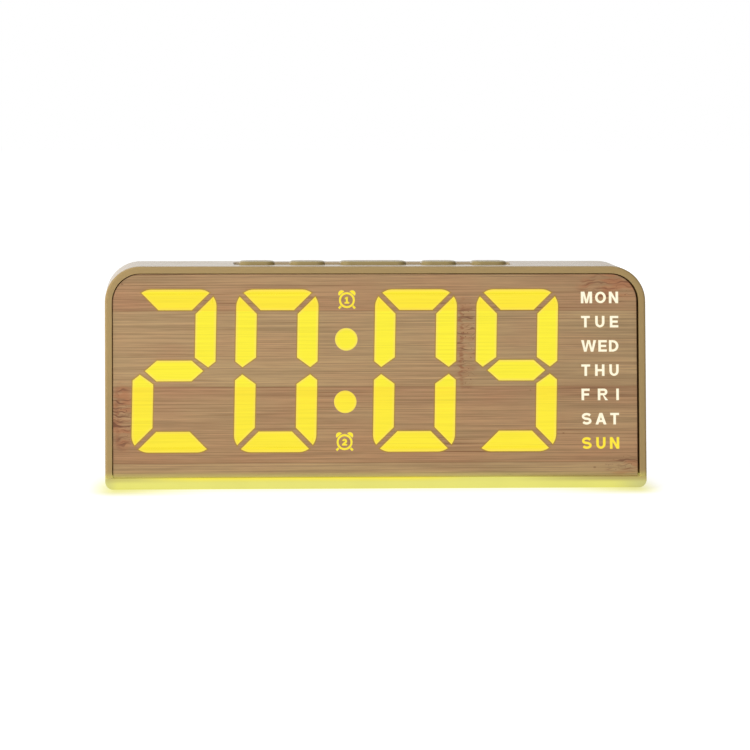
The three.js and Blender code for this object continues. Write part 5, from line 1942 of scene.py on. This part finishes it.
@dataclass
class RearCover:
    """The rear cover with its battery pocket, sound slots and socket hole, and the battery door."""

    case: CaseLines
    setback: float = 0.6
    thickness: float = 2.4
    edge: float = 0.4
    lip: float = 0.2
    lip_margin: float = 1.0
    pocket: float = 31.0
    pocket_corner: float = 2.0
    pocket_root: float = 0.5
    pocket_front: float = 15.2
    pocket_floor: float = 16.7
    well: float = 10.3
    door_corner: float = 2.0
    door_gap: float = 0.3
    door_edge: float = 0.3
    latch_width: float = 8.0
    latch_length: float = 7.0
    latch_slot: float = 0.8
    latch_corner: float = 0.3
    finger: float = 5.0
    finger_depth: float = 1.0
    slot_width: float = 1.8
    slot_flat: float = 0.1
    slot_pitch: float = 3.4
    slot_count: int = 5
    slot_reach: float = 9.0
    head_bore: float = 2.5
    head_depth: float = 1.4

    def build(self) -> None:
        """Builds and dresses cover and door."""
        case = self.case
        back = case.back - self.setback
        front = back - self.thickness
        low, high = case.housing_low + case.fit, case.ceiling - case.fit
        corner = case.top_corner - case.wall - case.fit
        form = Form()
        half = case.half_width - case.wall - case.fit
        face = form.rounded((0, (low + high) / 2), (2 * half, high - low), (0, 0, corner, corner), steps=16)
        form.slab(face, front, back)
        form.close()
        form.round_where(lambda p: abs(p.y - back) < NEAR, self.edge, steps=3)
        cover = form.piece("rear_cover_plate")
        door_low, door_high = corners("battery_door")
        centre = middle("battery_door", Plane.FRONT)
        size = door_high.x - door_low.x
        pocket = Form()
        face = pocket.rounded(centre, (self.pocket, self.pocket), [self.pocket_corner] * 4)
        pocket.slab(face, self.pocket_front, front + self.pocket_root)
        blend(cover, pocket, Blend.ADD)
        self.cut_openings(cover, back, front, centre, size, door_low.y - self.door_gap)
        rim = self.edge + NEAR + self.lip_margin

        def on_opening(point: Vector) -> bool:
            """Says whether a point lies on the rear face, away from its outer edge."""
            inner = abs(point.x) < half - rim and low + rim < point.z < high - rim
            return abs(point.y - back) < NEAR_CUT and inner

        form = Form.of(cover)
        form.round_where(on_opening, self.lip, steps=2, sharp=60)
        form.write(cover)
        seat(cover, CASE_BODY, TAN, "rear_cover")
        self.build_door(centre, size, door_low.y, door_high.y)

    def cut_openings(
        self, cover: Piece, back: float, front: float, centre: Point, size: float, door_seat: float
    ) -> None:
        """Cuts door seat, cell well, finger dip, sound slots, socket hole and screw bores.

        Args:
            cover: The cover.
            back: Its rear face.
            front: Its front face.
            centre: Middle of the battery door.
            size: Side of the door.
            door_seat: Where the door's seat lies.
        """
        past = back + PAST
        opening = size + 2 * self.door_gap
        tool = Form()
        face = tool.rounded(centre, (opening, opening), [self.door_corner + self.door_gap] * 4)
        tool.slab(face, door_seat, past)
        blend(cover, tool, Blend.TAKE)
        finger_place = (centre[0], centre[1] + opening / 2)
        dips = (
            (centre, self.well, self.pocket_floor, 48),
            (finger_place, self.finger, back - self.finger_depth, 40),
        )
        for place, radius, floor, steps in dips:
            tool = Form()
            tool.slab(tool.disc(place, radius, steps=steps), floor, past)
            blend(cover, tool, Blend.TAKE)
        tool = Form()
        x, z = middle("buzzer", Plane.FRONT)
        end = (self.slot_width - self.slot_flat) / 2
        for row in range(self.slot_count):
            rise = (row - (self.slot_count - 1) / 2) * self.slot_pitch
            length = 2 * math.sqrt(self.slot_reach**2 - rise**2)
            slot = tool.rounded((x, z + rise), (length, self.slot_width), [end] * 4, steps=6)
            tool.slab(slot, front - PAST, past)
        low, high = corners("power_socket")
        hole = (high.x - low.x + 2 * self.case.fit, high.z - low.z + 2 * self.case.fit)
        mouth = tool.rounded(middle("power_socket", Plane.FRONT), hole, [(hole[1] - SOCKET_FLAT) / 2] * 4)
        tool.slab(mouth, front - PAST, past)
        for node in REAR_SCREWS:
            bore = tool.disc(middle(node, Plane.FRONT), self.head_bore, steps=32)
            tool.slab(bore, back - self.head_depth, past)
        blend(cover, tool, Blend.TAKE)

    def build_door(self, centre: Point, size: float, front: float, back: float) -> None:
        """Builds the battery door with its sprung latch tongue.

        Args:
            centre: Middle of the door.
            size: Its side.
            front: Where its front face lies.
            back: Where its rear face lies.
        """
        form = Form()
        form.slab(form.rounded(centre, (size, size), [self.door_corner] * 4, steps=8), front, back)
        form.close()
        form.round_where(lambda p: abs(p.y - back) < NEAR, self.door_edge, steps=3)
        door = form.piece("battery_door_plate")
        tool = Form()
        slit_size = (self.latch_slot, 2 * self.latch_length)
        for side in (-1, 1):
            slit_place = (centre[0] + side * (self.latch_width + self.latch_slot) / 2, centre[1] + size / 2)
            slit = tool.rounded(slit_place, slit_size, [self.latch_corner] * 4, steps=4)
            tool.slab(slit, front - PAST, back + PAST)
        blend(door, tool, Blend.TAKE)
        seat(door, "battery_door_body", TAN, "battery_door")


@dataclass
class PowerSocket:
    """The power socket: a rolled metal shell round a flat tongue."""

    shell: float = 0.35
    mouth: float = 6.2
    edge: float = 0.12
    tongue: Point = (6.6, 0.7)
    tongue_sink: float = 0.5
    tongue_gap: float = 0.02
    tongue_corner: float = 0.1
    tongue_edge: float = 0.15

    def build(self) -> None:
        """Builds and dresses shell and tongue."""
        low, high = corners("power_socket")
        centre = middle("power_socket", Plane.FRONT)
        size = (high.x - low.x, high.z - low.z)
        form = Form()
        form.slab(form.rounded(centre, size, [(size[1] - SOCKET_FLAT) / 2] * 4), low.y, high.y)
        shell = form.piece("socket_shell")
        tool = Form()
        inner = (size[0] - 2 * self.shell, size[1] - 2 * self.shell)
        face = tool.rounded(centre, inner, [(inner[1] - SOCKET_FLAT) / 2] * 4)
        tool.slab(face, high.y - self.mouth, high.y + PAST)
        blend(shell, tool, Blend.TAKE)
        form = Form.of(shell)
        form.round_where(lambda p: abs(p.y - high.y) < NEAR_CUT, self.edge, steps=2, sharp=60)
        form.write(shell)
        seat(shell, CASE_BODY, STEEL, "power_socket")
        form = Form()
        tip = high.y - self.tongue_sink
        face = form.rounded(centre, self.tongue, [self.tongue_corner] * 4, steps=2)
        form.slab(face, high.y - self.mouth + self.tongue_gap, tip)
        form.close()
        form.round_where(lambda p: abs(p.y - tip) < NEAR, self.tongue_edge, steps=2)
        seat(form.piece("socket_tongue"), CASE_BODY, BLACK)


@dataclass
class InnerWorks:
    """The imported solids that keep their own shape: boards, switches, cell, contacts and cables."""

    cell: str = "coin_cell"

    def dress(self, frame: dict) -> None:
        """Gives each solid that still shows the finish of its slot.

        Args:
            frame: What the loaded frame holds.
        """
        slots = {part["node"]: part["material_slot"] for part in frame["record"]["subparts"]}
        for node, thing in frame["nodes"].items():
            if not thing.hide_render:
                finish = CELL_CAN if node == self.cell else FINISHES[slots[node]]
                thing.data.materials.clear()
                thing.data.materials.append(finish.material())
                LOG.info("%s keeps its solid, finish %s", node, finish.name)


@dataclass
class Studio:
    """Pale floor, plain soft light and the photograph's camera."""

    camera_place: Triple = (-77.9, -1220.0, 142.1)
    yaw: float = 3.68
    pitch: float = 4.833
    roll: float = 0.157
    lens: float = 165.48
    sensor: float = 36.0
    clip: float = 50.0
    aim: Triple = (0.0, 0.0, 0.04)
    world_level: float = 0.33
    shaded_side: float = 0.3
    shade_reach: Point = (-0.1, 0.8)
    floor_size: float = 12.0
    floor_share: float = 0.62
    floor_light: float = 1.45
    floor_colour: str = "#f4f4f4"
    # Colour and reach of the base's light painted on the floor
    halo: str = "#e2dfa0"
    halo_front: float = 22.0
    halo_side: float = 13.0
    halo_inset: Point = (4.0, 3.0)
    halo_ends: float = 40.0
    halo_middle: float = 0.22
    halo_fade: float = -12.0
    halo_rear: float = 0.4
    contact: float = 0.3

    def build(self, case: CaseLines) -> None:
        """Builds floor, world, lamps and camera.

        Args:
            case: Lines of the case, for the base's light painted on the floor.
        """
        self.build_world()
        self.build_floor(case)
        self.lamp("key_light", (-0.85, -0.85, 0.65), 0.7, 10.6, mirrored=False)
        self.lamp("side_light", (-1.5, -0.3, 0.3), 0.5, 5.0, mirrored=False)
        self.lamp("fill_light", (1.1, -1.0, 0.5), 0.9, 0.6)
        self.lamp("back_light", (0.5, 1.3, 0.4), 0.9, 3.5, mirrored=False)
        self.build_camera()

    @staticmethod
    def seen_rays(sketch: Sketch) -> Socket:
        """Gives 1 for rays that show the background, and 0 for rays that light the object."""
        path = sketch.add("LightPath").outputs
        seen = sketch.larger(path["Is Camera Ray"], path["Is Glossy Ray"])
        return sketch.larger(seen, path["Is Transmission Ray"])

    def build_world(self) -> None:
        """Makes a white backdrop that lights the object softly."""
        world = bpy.data.worlds.new("backdrop")
        world.use_nodes = True
        bpy.context.scene.world = world
        sketch = Sketch(world.node_tree)
        seen = self.seen_rays(sketch)
        ground = world.node_tree.nodes["Background"].inputs
        ground["Color"].default_value = PURE_WHITE
        level = sketch.line(seen, 1.0 - self.world_level, self.world_level)
        across = sketch.add("SeparateXYZ", {0: sketch.add("TexCoord").outputs["Generated"]}).outputs[0]
        loss = sketch.spread(across, *self.shade_reach, 0.0, 1.0 - self.shaded_side)
        glossy = sketch.add("LightPath").outputs["Is Glossy Ray"]
        kept = sketch.less(1.0, sketch.times(glossy, loss))
        sketch.feed(ground["Strength"], sketch.times(level, kept))

    def build_floor(self, case: CaseLines) -> None:
        """Makes the floor, with the base's light painted on as a tint where the clock stands.

        Args:
            case: Lines of the case.
        """
        form = Form()
        side = self.floor_size / MM
        form.rounded((0, 0), (side, side), [0] * 4, Plane.PLAN)
        floor = form.piece("floor")
        material = bpy.data.materials.new("floor")
        material.use_nodes = True
        tree = material.node_tree
        tree.nodes.remove(tree.nodes["Principled BSDF"])
        sketch = Sketch(tree)
        x, y, _ = sketch.millimetres()
        # The base's light is painted on the floor as a tint that fades away from the base
        aside = sketch.math("ABSOLUTE", x)
        edges = (
            (aside, case.half_width - self.halo_inset[0], self.halo_side),
            (sketch.math("ABSOLUTE", y), case.back - self.halo_inset[1], self.halo_front),
        )
        squares = []
        for value, start, reach in edges:
            past = sketch.larger(sketch.less(value, start), 0.0)
            squares.append(sketch.math("POWER", sketch.math("DIVIDE", past, reach), 2.0))
        away = sketch.math("SQRT", sketch.math("ADD", *squares))
        half = case.half_width
        to_end = sketch.spread(aside, half - self.halo_ends, half, self.halo_middle, 1.0)
        to_rear = sketch.spread(y, self.halo_fade, case.back, 1.0, self.halo_rear)
        share = sketch.times(sketch.times(sketch.spread(away, 0.0, 1.0, 1.0, 0.0), to_end), to_rear)
        tint = sketch.mix(share, PURE_WHITE, tone(self.halo))
        matte = sketch.add("BsdfDiffuse", {0: sketch.mix(1.0, tint, tone(self.floor_colour), "MULTIPLY")})
        light = sketch.add("Emission", {0: tint, 1: self.floor_light})
        shown = sketch.times(self.seen_rays(sketch), self.floor_share)
        both = sketch.add("MixShader", {0: shown, 1: matte.outputs[0], 2: light.outputs[0]})
        # The floor lets light through from below, and where a foot stands on it
        below = sketch.add("NewGeometry").outputs["Backfacing"]
        length = sketch.add("LightPath").outputs["Ray Length"]
        touching = sketch.math("LESS_THAN", length, self.contact * MM)
        clear = sketch.add("BsdfTransparent")
        passed = sketch.larger(below, touching)
        one_sided = sketch.add("MixShader", {0: passed, 1: both.outputs[0], 2: clear.outputs[0]})
        sketch.feed(tree.nodes["Material Output"].inputs["Surface"], one_sided.outputs[0])
        floor.data.materials.append(material)

    def lamp(
        self, name: str, place: Triple, size: float, power: float, mirrored: bool = True
    ) -> None:
        """Hangs a soft square lamp that points at the clock.

        Args:
            name: Name of the lamp.
            place: Where it hangs, in metres.
            size: Side of the square, in metres.
            power: Power, in watts.
            mirrored: Whether glossy surfaces show it.
        """
        light = bpy.data.lights.new(name, "AREA")
        light.energy = power
        light.size = size
        lamp = bpy.data.objects.new(name, light)
        lamp.location = place
        lamp.visible_glossy = mirrored
        lamp.rotation_euler = (Vector(self.aim) - Vector(place)).to_track_quat("-Z", "Y").to_euler()
        bpy.context.scene.collection.objects.link(lamp)

    def build_camera(self) -> None:
        """Sets the camera at the photograph's viewing angle."""
        yaw, pitch, roll = (math.radians(angle) for angle in (self.yaw, self.pitch, self.roll))
        data = bpy.data.cameras.new("camera")
        data.lens = self.lens
        data.sensor_width = self.sensor
        data.clip_end = self.clip
        camera = bpy.data.objects.new("camera", data)
        level = Matrix.Rotation(-yaw, 4, "Z") @ Matrix.Rotation(math.pi / 2 - pitch, 4, "X")
        place = Matrix.Translation(Vector(self.camera_place) * MM)
        camera.matrix_world = place @ level @ Matrix.Rotation(roll, 4, "Z")
        bpy.context.scene.collection.objects.link(camera)
        bpy.context.scene.camera = camera


def main() -> None:
    """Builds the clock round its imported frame, sub-assembly by sub-assembly."""
    logging.basicConfig(level=logging.INFO, format="%(name)s: %(message)s")
    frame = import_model()
    bpy.context.scene.view_settings.view_transform = "Standard"
    Finish.effects = Effects()
    case = CaseLines()
    Studio().build(case)
    keys = KeyRow(case)
    Housing(case).build(keys)
    keys.build()
    LitFace(case, Digits(), Capitals(), Capitals(stem=0.3, bar=0.24)).build()
    GlowBase(case).build()
    Feet().build()
    RearCover(case).build()
    Screws().build()
    PowerSocket().build()
    InnerWorks().dress(frame)


if __name__ == "__main__":
    main()
